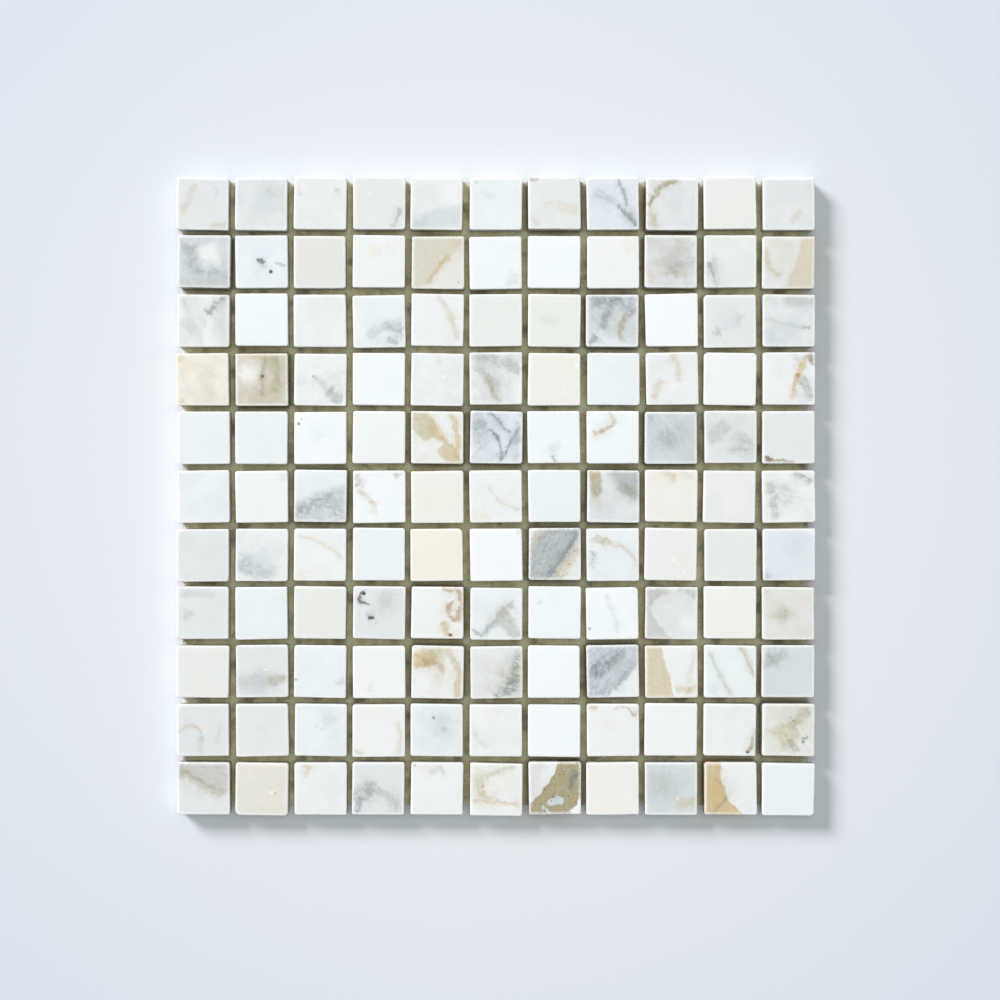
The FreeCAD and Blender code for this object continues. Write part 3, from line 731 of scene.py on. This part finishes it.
class Graph:
    """Short ways to add nodes to a material or a node group and to join them."""

    def __init__(self, tree):
        self.tree = tree

    def add(self, kind, inputs=(), **settings):
        node = self.tree.nodes.new(kind)
        for name, value in settings.items():
            setattr(node, name, value)
        for key, value in dict(inputs).items():
            self.join(value, node.inputs[key])
        return node

    def join(self, value, socket):
        if isinstance(value, bpy.types.NodeSocket):
            self.tree.links.new(value, socket)
        else:
            socket.default_value = value

    def math(self, operation, *values, clamp=False):
        node = self.add("ShaderNodeMath", enumerate(values), operation=operation, use_clamp=clamp)
        return node.outputs[0]

    def vector(self, operation, *values, output=0):
        node = self.add("ShaderNodeVectorMath", enumerate(values), operation=operation)
        return node.outputs[output]

    def scaled(self, vector, factor):
        return self.add("ShaderNodeVectorMath", {0: vector, "Scale": factor}, operation="SCALE").outputs[0]

    def mapped(self, value, low, high, to_low=0.0, to_high=1.0, smooth=False):
        kind = "SMOOTHSTEP" if smooth else "LINEAR"
        inputs = {"Value": value, "From Min": low, "From Max": high, "To Min": to_low, "To Max": to_high}
        return self.add("ShaderNodeMapRange", inputs, interpolation_type=kind).outputs[0]

    def mixed(self, factor, first, second, blend="MIX"):
        node = self.add("ShaderNodeMix", data_type="RGBA", blend_type=blend)
        self.join(factor, node.inputs[0])
        self.join(first if isinstance(first, bpy.types.NodeSocket) else (*first, 1.0), node.inputs[6])
        self.join(second if isinstance(second, bpy.types.NodeSocket) else (*second, 1.0), node.inputs[7])
        return node.outputs[2]

    def noise(self, vector, scale, detail=3.0, roughness=0.5, output=0, **settings):
        inputs = {"Vector": vector, "Scale": scale, "Detail": detail, "Roughness": roughness}
        return self.add("ShaderNodeTexNoise", inputs, **settings).outputs[output]

    def attribute(self, name):
        return self.add("ShaderNodeAttribute", attribute_name=name)


def make_stroke_group():
    """The node group that draws one stroke over a colour, from the values that stroke() makes."""
    tree = bpy.data.node_groups.new("stroke", "ShaderNodeTree")
    for name, kind in (
        ("Colour", "NodeSocketColor"), ("Specks", "NodeSocketFloat"), ("Place", "NodeSocketVector"),
        ("Warp", "NodeSocketVector"), ("Mottle", "NodeSocketFloat"),
        ("Line", "NodeSocketColor"), ("Line End", "NodeSocketFloat"),
        ("Shape", "NodeSocketColor"), ("Wobble", "NodeSocketFloat"),
        ("Paint", "NodeSocketColor"), ("Strength", "NodeSocketFloat"),
        ("Grit", "NodeSocketColor"), ("Fade", "NodeSocketFloat"), ("Swell", "NodeSocketFloat"),
    ):
        tree.interface.new_socket(name, in_out="INPUT", socket_type=kind)
    tree.interface.new_socket("Colour", in_out="OUTPUT", socket_type="NodeSocketColor")
    tree.interface.new_socket("Specks", in_out="OUTPUT", socket_type="NodeSocketFloat")
    graph = Graph(tree)
    given = graph.add("NodeGroupInput").outputs
    line = graph.add("ShaderNodeSeparateColor", {0: given["Line"]}).outputs
    shape = graph.add("ShaderNodeSeparateColor", {0: given["Shape"]}).outputs
    grit = graph.add("ShaderNodeSeparateColor", {0: given["Grit"]}).outputs
    swell = graph.add("ShaderNodeMix", {0: given["Fade"], 2: 1.0, 3: given["Swell"]}, data_type="FLOAT").outputs[0]
    half, blur = graph.math("MULTIPLY", shape[0], swell), graph.math("MULTIPLY", shape[1], swell)
    bend = shape[2]

    place = graph.vector("ADD", given["Place"], graph.scaled(given["Warp"], given["Wobble"]))
    start = graph.add("ShaderNodeCombineXYZ", {0: line[0], 1: line[1]}).outputs[0]
    end = graph.add("ShaderNodeCombineXYZ", {0: line[2], 1: given["Line End"]}).outputs[0]
    span = graph.vector("SUBTRACT", end, start)
    length = graph.vector("LENGTH", span, output=1)
    direction = graph.vector("NORMALIZE", span)
    away = graph.vector("SUBTRACT", place, start)
    along = graph.vector("DOT_PRODUCT", away, direction, output=1)
    turned = graph.vector("CROSS_PRODUCT", direction, away)
    across = graph.add("ShaderNodeSeparateXYZ", {0: turned}).outputs[2]
    share = graph.math("DIVIDE", along, length, clamp=True)
    arch = graph.math("MULTIPLY", graph.math("MULTIPLY", share, 4.0), graph.math("SUBTRACT", 1.0, share))
    across = graph.math("SUBTRACT", across, graph.math("MULTIPLY", bend, arch))
    past = graph.math("MAXIMUM", graph.math("SUBTRACT", along, length), graph.math("MULTIPLY", along, -1.0))
    past = graph.math("MAXIMUM", past, 0.0)
    distance = graph.math("SQRT", graph.math("ADD", graph.math("POWER", across, 2.0), graph.math("POWER", past, 2.0)))
    rest = graph.math("SUBTRACT", 1.0, share)
    reach = graph.math("ADD", half, blur)
    ends = graph.math("MULTIPLY", share, graph.math("MULTIPLY", rest, graph.mapped(reach, 0.06, 0.25, 14.0, 5.0)))
    ends = graph.math("MINIMUM", ends, 1.0)
    ends = graph.math("SUBTRACT", 1.0, graph.math("MULTIPLY", given["Fade"], graph.math("SUBTRACT", 1.0, ends)))

    def falling(width, from_edge):
        out = graph.math("MAXIMUM", graph.math("SUBTRACT", distance, from_edge), 0.0)
        out = graph.math("POWER", graph.math("DIVIDE", out, width), 2.0)
        return graph.math("EXPONENT", graph.math("MULTIPLY", out, -2.0))

    halo = falling(graph.math("MULTIPLY", reach, HALO_REACH), 0.0)
    halo = graph.math("MULTIPLY", graph.math("MULTIPLY", halo, HALO_SHARE), given["Fade"])
    mask = graph.math("MULTIPLY", graph.math("ADD", falling(blur, half), halo, clamp=True), ends)

    fibres = graph.add("ShaderNodeCombineXYZ", {
        0: graph.math("MULTIPLY", along, 2.2),
        1: graph.math("MULTIPLY", across, 16.0),
        2: graph.math("MULTIPLY", graph.math("ADD", line[0], line[1]), 7.0),
    }).outputs[0]
    fibre = graph.mapped(graph.noise(fibres, 1.0, 2.0, 0.6), 0.32, 0.64)
    streaked = graph.math("SUBTRACT", 1.0, graph.math("MULTIPLY", grit[1], graph.math("SUBTRACT", 1.0, fibre)))
    mottled = graph.math("SUBTRACT", 1.0, graph.math("MULTIPLY", grit[0], graph.math("SUBTRACT", 1.0, given["Mottle"])))
    drawn = graph.math("MULTIPLY", mask, graph.math("MULTIPLY", streaked, mottled))
    colour = graph.mixed(graph.math("MULTIPLY", drawn, given["Strength"]), given["Colour"], given["Paint"])
    specks = graph.math("MAXIMUM", given["Specks"], graph.math("MULTIPLY", mask, grit[2]))
    graph.add("NodeGroupOutput", {0: colour, 1: specks})
    return tree


def new_material(name):
    """A material with one Principled shader, and the graph to add nodes to."""
    material = bpy.data.materials.new(name)
    material.use_nodes = True
    graph = Graph(material.node_tree)
    shader = material.node_tree.nodes["Principled BSDF"]
    return material, graph, shader


def make_marble():
    """White marble with soft clouds, fine veins and each chip's own strokes, its arris painted white as rubbed wear and
    as a painted highlight, and its joint walls darkened downwards by adhesive smear and painted shade.
    """
    material, graph, shader = new_material("marble")
    stone = graph.attribute("stone").outputs["Vector"]
    face = graph.attribute("face").outputs["Vector"]
    ground = graph.attribute("ground").outputs
    haze = graph.attribute("haze").outputs
    rim = graph.attribute("rim").outputs["Fac"]

    warp = graph.noise(stone, 0.2, 5.0, 0.7, output=1)
    warp = graph.scaled(graph.vector("SUBTRACT", warp, (0.5, 0.5, 0.5)), 2.6)
    layers = graph.vector("MULTIPLY", graph.vector("ADD", stone, graph.scaled(warp, 2.5)), (1.0, 1.0, 0.4))
    mottle = graph.mapped(graph.noise(layers, 0.5, 3.0, 0.6), 0.3, 0.64)
    swell = graph.mapped(graph.noise(stone, 0.22, 2.0, 0.5), 0.35, 0.65, 0.7, 1.4)
    clouds = graph.mapped(graph.noise(layers, 0.085, 4.0, 0.58), 0.38, 0.68)
    clouded = graph.mixed(graph.math("MULTIPLY", clouds, ground["Alpha"]), ground["Color"], haze["Color"])
    ridge = graph.noise(layers, 0.07, 3.0, 0.55)
    ridge = graph.math("ABSOLUTE", graph.math("SUBTRACT", ridge, 0.5))
    fine_veins = graph.math("MULTIPLY", graph.mapped(ridge, 0.035, 0.0, smooth=True), haze["Alpha"])
    fine_veins = graph.math("MULTIPLY", fine_veins, graph.math("MULTIPLY", mottle, 0.7))
    colour = graph.mixed(fine_veins, clouded, haze["Color"])

    group = make_stroke_group()
    specks = 0.0
    for index in range(STROKES):
        line = graph.attribute(f"line_{index}").outputs
        shape = graph.attribute(f"shape_{index}").outputs
        paint = graph.attribute(f"paint_{index}").outputs
        grit = graph.attribute(f"grit_{index}").outputs
        drawn = graph.add("ShaderNodeGroup", node_tree=group)
        for name, value in (
            ("Colour", colour), ("Specks", specks), ("Place", face), ("Warp", warp), ("Mottle", mottle),
            ("Line", line["Color"]), ("Line End", line["Alpha"]),
            ("Shape", shape["Color"]), ("Wobble", shape["Alpha"]),
            ("Paint", paint["Color"]), ("Strength", paint["Alpha"]),
            ("Grit", grit["Color"]), ("Fade", grit["Alpha"]), ("Swell", swell),
        ):
            graph.join(value, drawn.inputs[name])
        colour, specks = drawn.outputs

    dots = graph.add("ShaderNodeTexVoronoi", {"Vector": stone, "Scale": 0.45, "Randomness": 1.0}).outputs["Distance"]
    dots = graph.math("MULTIPLY", graph.mapped(dots, 0.2, 0.08, smooth=True), specks)
    colour = graph.mixed(dots, colour, PAINTS["coal"])
    grain = graph.noise(stone, 2.2, 2.0, 0.7)
    colour = graph.mixed(graph.mapped(grain, 0.35, 0.75, 0.0, 0.05), colour, PAINTS["haze"])
    # The arris and a band inside it painted white: partly rubbed wear, partly a painted highlight along the chips'
    # edges
    worn_and_highlit_rim = graph.math("MULTIPLY", rim, graph.mapped(graph.noise(stone, 0.9, 2.0, 0.6), 0.3, 0.6, 0.3, 0.8))
    colour = graph.mixed(worn_and_highlit_rim, colour, PAINTS["white"])
    # Walls that face a joint darken with depth: partly adhesive smear, partly painted shade deep in the joint
    depth = graph.add("ShaderNodeSeparateXYZ", {0: face}).outputs[2]
    inside = graph.attribute("joint").outputs["Fac"]
    smear_and_shade = graph.math("MULTIPLY", graph.mapped(depth, *SMEAR_AND_SHADE_DEPTHS, smooth=True), inside)
    smear_and_shade = graph.math("MULTIPLY", smear_and_shade, graph.mapped(mottle, 0.0, 1.0, SMEAR_AND_SHADE_LEAST, SMEAR_AND_SHADE_MOST))
    above_underside = graph.math("LESS_THAN", depth, CHIP_TOP - CHIP_BOTTOM - 0.01)
    smear_and_shade = graph.math("MULTIPLY", smear_and_shade, above_underside)
    colour = graph.mixed(smear_and_shade, colour, graph.mixed(1.0, colour, WALL_SMEAR_AND_SHADE_TINT, "MULTIPLY"))

    graph.join(colour, shader.inputs["Base Color"])
    graph.join(graph.mapped(grain, 0.3, 0.7, 0.42, 0.56), shader.inputs["Roughness"])
    shader.inputs["Specular IOR Level"].default_value = 0.4
    shader.subsurface_method = "BURLEY"
    shader.inputs["Subsurface Weight"].default_value = 0.6
    shader.inputs["Subsurface Radius"].default_value = (1.0, 1.0, 1.0)
    shader.inputs["Subsurface Scale"].default_value = 2.0 * MM
    return material


def millimetres(graph):
    """The place on the sheet in millimetres."""
    place = graph.add("ShaderNodeTexCoord").outputs["Object"]
    return graph.scaled(place, 1 / MM)


def make_adhesive():
    """Khaki adhesive, patchy and a little glossy, with painted shade in dark patches and beside dark chips, and painted
    light where joints cross and towards the sheet's edge.
    """
    material, graph, shader = new_material("adhesive")
    place = millimetres(graph)
    patches = graph.mapped(graph.noise(place, 0.12, 4.0, 0.6), 0.35, 0.65)
    colour = graph.mixed(patches, srgb(206, 196, 152), srgb(255, 248, 212))
    fine = graph.noise(place, 1.4, 3.0, 0.65)
    colour = graph.mixed(graph.mapped(fine, 0.35, 0.7, 0.0, 0.45), colour, srgb(178, 168, 130))
    # Paler towards the sheet's edge: partly thinner adhesive, partly painted light where the joints open at the edge
    thin_and_lit = graph.math("MULTIPLY", graph.attribute("thin_and_lit").outputs["Fac"], graph.mapped(fine, 0.3, 0.6, 0.6, 1.0))
    colour = graph.mixed(thin_and_lit, colour, srgb(226, 226, 214))
    # Dark patches: painted shade in the joints, partly dirt
    shade_and_dirt = graph.mapped(graph.noise(place, 0.07, 3.0, 0.6), 0.52, 0.64, 0.0, 0.62)
    # Painted shade beside the chips with dark sides
    dark_chip_shade = graph.math("MULTIPLY", graph.attribute("dark_chip_shade").outputs["Fac"], graph.mapped(fine, 0.25, 0.5, 0.6, 0.95))
    shade_and_dirt = graph.math("MAXIMUM", shade_and_dirt, dark_chip_shade)
    # Painted light where joints cross: less painted shade and a paler colour there, and part of this over the whole
    # underside
    lit_and_clean = graph.attribute("lit_and_clean").outputs["Fac"]
    shade_and_dirt = graph.math("MULTIPLY", shade_and_dirt, graph.math("SUBTRACT", 1.0, lit_and_clean, clamp=True))
    colour = graph.mixed(shade_and_dirt, colour, srgb(96, 84, 60))
    colour = graph.mixed(graph.math("MULTIPLY", lit_and_clean, 0.6), colour, srgb(216, 220, 196))
    graph.join(colour, shader.inputs["Base Color"])
    graph.join(graph.mapped(fine, 0.3, 0.7, 0.45, 0.65), shader.inputs["Roughness"])
    bump = graph.add("ShaderNodeBump", {"Height": fine, "Strength": 0.6, "Distance": 0.1 * MM})
    graph.join(bump.outputs[0], shader.inputs["Normal"])
    return material


def make_glass_yarn(name, stretch):
    """White glass yarn, its filaments drawn out along the way that stretch makes short."""
    material, graph, shader = new_material(name)
    place = graph.vector("MULTIPLY", millimetres(graph), stretch)
    filaments = graph.noise(place, 1.0, 3.0, 0.6)
    colour = graph.mixed(graph.mapped(filaments, 0.3, 0.7), srgb(206, 206, 196), srgb(238, 238, 232))
    graph.join(colour, shader.inputs["Base Color"])
    graph.join(graph.mapped(filaments, 0.3, 0.7, 0.38, 0.6), shader.inputs["Roughness"])
    bump = graph.add("ShaderNodeBump", {"Height": filaments, "Strength": 0.7, "Distance": 0.06 * MM})
    graph.join(bump.outputs[0], shader.inputs["Normal"])
    return material


# The adhesive: where its mesh has lines, and how it climbs the chips
JOINT_LINES = (-2.1, -1.5, -0.95, 0.0, 0.95, 1.5, 2.1)
BORDER_LINES = (0.0, 1.0, 2.0, 3.0, 4.5)
# How far in from the sheet's edge the adhesive pales: thinner adhesive and painted light
THIN_AND_LIT_BORDER = 3.2
# How far the painted light at the joints' crossings reaches, and how much of it the underside gets
CROSSING_REACH = 1.7
LIT_AND_CLEAN_UNDERSIDE = 0.6
# How far the painted shade beside the chips with dark sides reaches
DARK_CHIP_SHADE_REACH = 1.6
CHIP_LINES = 9
FILM_TOP = 0.7
CLIMB = 0.55
CLIMB_REACH = 0.45
TOP_WANDER = 0.14
UNDER_RISE = 0.12


def film_lines(count, start, end):
    """Where the lines of the adhesive's mesh run: close together in the joints, wider under the chips."""
    edge = count * PITCH / 2
    joints = [step * PITCH - edge for step in range(1, count)]
    lines = [joint + offset for joint in joints for offset in JOINT_LINES]
    lines += [start + inset for inset in BORDER_LINES] + [end - inset for inset in BORDER_LINES]
    for left, right in zip([start] + joints, joints + [end]):
        low = left + (JOINT_LINES[-1] if left in joints else BORDER_LINES[-1])
        high = right + (JOINT_LINES[0] if right in joints else -BORDER_LINES[-1])
        lines += list(np.linspace(low, high, CHIP_LINES + 1)[1:-1])
    return np.array(sorted(lines))


def backing_box():
    """The lowest and highest corner of the adhesive film, in millimetres."""
    return [np.array(corner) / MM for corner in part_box("adhesive_film")]


def wall_distance(points, outlines):
    """How far each point lies outside the nearest chip, negative inside one."""
    nearest = np.full(len(points), np.inf)
    for outline in outlines:
        middle = outline.mean(axis=0)
        close = np.flatnonzero(np.abs(points - middle).max(axis=1) < PITCH * 0.75)
        out = outward(outline)
        beyond = (points[close, None, :] - outline[None, :, :]) * out[None, :, :]
        nearest[close] = np.minimum(nearest[close], beyond.sum(axis=2).max(axis=1))
    return nearest


def wavy(points, seed, waves=9, longest=60.0, shortest=5.0):
    """A smooth random height between about -1 and 1 over places in millimetres."""
    chance = random.Random(seed)
    total = np.zeros(len(points))
    for index in range(waves):
        length = longest * (shortest / longest) ** (index / (waves - 1))
        angle = chance.uniform(0, math.pi)
        way = np.array([math.cos(angle), math.sin(angle)]) * 2 * math.pi / length
        total += np.sin(points @ way + chance.uniform(0, 2 * math.pi))
    return total / math.sqrt(waves)


def make_adhesive_bed(outlines):
    """The adhesive as one uneven sheet that climbs the chips' walls in the joints."""
    low, high = backing_box()
    x_lines = film_lines(COLUMNS, low[0], high[0])
    y_lines = film_lines(ROWS, low[1], high[1])
    size, rows = len(x_lines), len(y_lines)
    x, y = np.meshgrid(x_lines, y_lines, indexing="ij")
    places = np.column_stack([x.ravel(), y.ravel()])
    clear = wall_distance(places, outlines)
    wander = wavy(places, "top of the adhesive")
    climb = CLIMB * (1 + 0.5 * wavy(places, "climb of the adhesive", 7, 30.0, 4.0))
    top = FILM_TOP - 0.04 + np.where(clear > 0, TOP_WANDER * (wander - 0.4) * 0.5, 0.0)
    top += np.where(clear > -0.3, np.clip(climb, 0.1, 1.1) * np.exp(-np.clip(clear, 0, None) / CLIMB_REACH), 0.0)
    yarns = np.cos(places * 2 * math.pi / YARN_PITCH).max(axis=1)
    under = FILM_BOTTOM - UNDER_RISE * (1 - yarns) / 2 * (1 + 0.4 * wavy(places, "under the adhesive"))
    under = np.clip(under, 0.1, FILM_BOTTOM)
    edge = (np.minimum(places - low[:2], high[:2] - places) < 0.01).any(axis=1)
    top = np.where(edge, np.minimum(top, FILM_TOP - 0.1), top)
    points = np.concatenate([np.column_stack([places, top]), np.column_stack([places, under])])

    index = np.arange(size * rows).reshape(size, rows)
    upper = np.stack([index[:-1, :-1], index[1:, :-1], index[1:, 1:], index[:-1, 1:]], axis=-1).reshape(-1, 4)
    lower = upper[:, ::-1] + size * rows
    border = np.concatenate([index[:-1, 0], index[-1, :-1], index[:0:-1, -1], index[0, :0:-1]])
    after = np.roll(border, -1)
    rim = np.column_stack([border + size * rows, after + size * rows, after, border])
    piece = new_piece("adhesive_bed", points, np.concatenate([upper, lower, rim]), np.empty((0, 3), int))
    inside = np.minimum(places - low[:2], high[:2] - places).min(axis=1)
    from_joint = (np.abs(places / PITCH % 1 - 0.5) * PITCH).max(axis=1)
    # Painted shade in the adhesive, fading with distance from the chips with dark sides
    dark_sided = [outlines[(row - 1) * COLUMNS + column - 1] for row, column in DARK_SIDED]
    beside_dark = np.clip(wall_distance(places, dark_sided), 0, 40)
    # Paler near the sheet's edge: thinner adhesive and painted light
    thin_and_lit = np.clip(1 - inside / THIN_AND_LIT_BORDER, 0, 1)
    # Painted light where joints cross, fading away from the crossing
    lit_and_clean = np.clip(CROSSING_REACH - from_joint, 0, 1)
    dark_chip_shade = np.exp(-beside_dark / DARK_CHIP_SHADE_REACH)
    for name, above, below in (
        ("thin_and_lit", thin_and_lit, thin_and_lit), ("lit_and_clean", lit_and_clean, np.full(len(places), LIT_AND_CLEAN_UNDERSIDE)), ("dark_chip_shade", dark_chip_shade, 0 * dark_chip_shade),
    ):
        set_attribute(piece, name, "FLOAT", np.concatenate([above, below]))
    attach(piece, "root")
    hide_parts("adhesive_film")
    piece.data.materials.append(make_adhesive())
    return piece


# The net: a yarn's lens section as shares of its half width and half height, and its steps
YARN_SECTION = ((-1.0, 0.0), (-0.45, -0.9), (0.45, -0.9), (1.0, 0.0), (0.45, 0.9), (-0.45, 0.9))
YARN_STEPS_PER_PITCH = 4
YARN_HALF_HEIGHT = NET_THICKNESS / 4


def make_yarns(name, runs_along_x, material):
    """All yarns one way, each going over and under those that cross it."""
    low, high = backing_box()
    along_axis, across_axis = (0, 1) if runs_along_x else (1, 0)
    first = math.ceil((low[across_axis] + YARN_WIDTH / 2) / YARN_PITCH)
    last_yarn = math.floor((high[across_axis] - YARN_WIDTH / 2) / YARN_PITCH)
    length = high[along_axis] - low[along_axis]
    steps = int(length / YARN_PITCH * YARN_STEPS_PER_PITCH)
    travel = np.linspace(low[along_axis], high[along_axis], steps + 1)
    section = np.array(YARN_SECTION)
    points, quads, ends = [], [], []
    size, count = len(section), 0
    for step in range(first, last_yarn + 1):
        chance = random.Random(f"{name} {step}")
        side = 1 if runs_along_x else -1
        wave = -side * (-1) ** step * np.cos(math.pi * travel / YARN_PITCH)
        middle = NET_THICKNESS / 2 + YARN_HALF_HEIGHT * wave
        turns = travel / length
        drift = 0.12 * wandering(turns, chance, (3, 7, 16, 29))
        width = YARN_WIDTH / 2 * (0.92 + 0.08 * wandering(turns, chance, (11, 23, 47)))
        across = step * YARN_PITCH + drift[:, None] + width[:, None] * section[None, :, 0]
        height = middle[:, None] + YARN_HALF_HEIGHT * section[None, :, 1]
        along = np.repeat(travel[:, None], size, axis=1)
        parts = (along, across, height) if runs_along_x else (across, along, height)
        own = np.stack(parts, axis=-1).reshape(-1, 3)
        quads.append(count + ring_quads(steps + 1, size)[:, :: -side])
        last = steps * size
        caps = np.array([(0, 1, 5), (1, 2, 4), (1, 4, 5), (2, 3, 4)])
        ends += [count + caps[:, ::side], count + last + caps[:, ::-side]]
        points.append(own)
        count += len(own)
    piece = new_piece(name, np.concatenate(points), np.concatenate(quads), np.concatenate(ends))
    piece.data.materials.append(material)
    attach(piece, "root")
    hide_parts(*[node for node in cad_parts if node.startswith("glass_net")])
    return piece


# How far from the sheet's middle the floor's colour starts to deepen, and where it stops: painted shade for the light's
# falloff towards the corners
FLOOR_SHADES_FROM = 120.0, 320.0


def make_floor():
    """The pale floor that the sheet lies on."""
    half = 3000.0
    corners = np.array([(-half, -half, 0.0), (half, -half, 0.0), (half, half, 0.0), (-half, half, 0.0)])
    floor = new_piece("floor", corners, np.array([[0, 1, 2, 3]]), np.empty((0, 3), int))
    material, graph, shader = new_material("pale floor")
    away = graph.vector("LENGTH", millimetres(graph), output=1)
    # The floor darkens away from the sheet: painted shade for the light's falloff
    painted_falloff = graph.mapped(away, *FLOOR_SHADES_FROM)
    graph.join(graph.mixed(painted_falloff, srgb(233, 237, 242), srgb(222, 228, 238)), shader.inputs["Base Color"])
    shader.inputs["Roughness"].default_value = 0.7
    shader.inputs["Specular IOR Level"].default_value = 0.2
    floor.data.materials.append(material)


# The studio: a soft key from the upper left, an even fill from all round, and the camera above
KEY_AZIMUTH = 138.0
KEY_ELEVATION = 31.5
KEY_DISTANCE = 16.0
KEY_WIDTH = 6.0
KEY_IRRADIANCE = 0.50
KEY_COLOUR = (1.02, 0.985, 1.025)
TOP_AZIMUTH = 60.0
TOP_ELEVATION = 80.0
TOP_DISTANCE = 4.0
TOP_WIDTH = 2.2
TOP_IRRADIANCE = 0.19
TOP_COLOUR = (0.99, 1.01, 0.97)
FILL_RADIANCE = 0.34
FILL_COLOUR = (0.98, 1.02, 0.965)
CAMERA_HEIGHT = 1.05
CAMERA_OFFSET = (1.97, -1.78)
SENSOR_WIDTH = 36.0
PHOTO_WIDTH_MM = 478.2


def make_lamp(name, azimuth, elevation, distance, width, irradiance, colour):
    """A round soft lamp that shines on the sheet's middle, as strong as its light on the level floor there."""
    elevation, azimuth = math.radians(elevation), math.radians(azimuth)
    to_lamp = Vector((
        math.cos(elevation) * math.cos(azimuth),
        math.cos(elevation) * math.sin(azimuth),
        math.sin(elevation),
    ))
    data = bpy.data.lights.new(name, "AREA")
    data.shape = "DISK"
    data.size = width
    data.color = colour
    data.energy = irradiance * math.pi * math.pi * distance ** 2 / math.sin(elevation)
    lamp = bpy.data.objects.new(name, data)
    lamp.location = to_lamp * distance
    lamp.rotation_euler = to_lamp.to_track_quat("Z", "Y").to_euler()
    bpy.context.scene.collection.objects.link(lamp)


def make_light():
    """The key lamp from the upper left, a weaker lamp overhead, and the world as the fill."""
    make_lamp("key", KEY_AZIMUTH, KEY_ELEVATION, KEY_DISTANCE, KEY_WIDTH, KEY_IRRADIANCE, KEY_COLOUR)
    make_lamp("top", TOP_AZIMUTH, TOP_ELEVATION, TOP_DISTANCE, TOP_WIDTH, TOP_IRRADIANCE, TOP_COLOUR)
    world = bpy.data.worlds.new("fill")
    world.use_nodes = True
    back = world.node_tree.nodes["Background"]
    back.inputs["Color"].default_value = (*FILL_COLOUR, 1.0)
    back.inputs["Strength"].default_value = FILL_RADIANCE
    bpy.context.scene.world = world


def make_camera():
    """A long lens straight above, framed as wide as the photograph."""
    data = bpy.data.cameras.new("camera")
    data.sensor_width = SENSOR_WIDTH
    data.lens = SENSOR_WIDTH * CAMERA_HEIGHT / (PHOTO_WIDTH_MM * MM)
    camera = bpy.data.objects.new("camera", data)
    camera.location = (CAMERA_OFFSET[0] * MM, CAMERA_OFFSET[1] * MM, CHIP_TOP * MM + CAMERA_HEIGHT)
    bpy.context.scene.collection.objects.link(camera)
    bpy.context.scene.camera = camera


def main():
    marble = make_marble()
    outlines = []
    for row in range(1, ROWS + 1):
        piece = make_chip_row(row)
        piece.data.materials.append(marble)
        outlines += chip_outlines(f"marble_chips_row_{row:02d}")
    make_adhesive_bed(outlines)
    make_yarns("warp_yarns", False, make_glass_yarn("glass yarn along Y", (7.0, 0.3, 7.0)))
    make_yarns("weft_yarns", True, make_glass_yarn("glass yarn along X", (0.3, 7.0, 7.0)))
    make_floor()
    make_light()
    make_camera()
    bpy.context.scene.view_settings.view_transform = "Standard"


main()
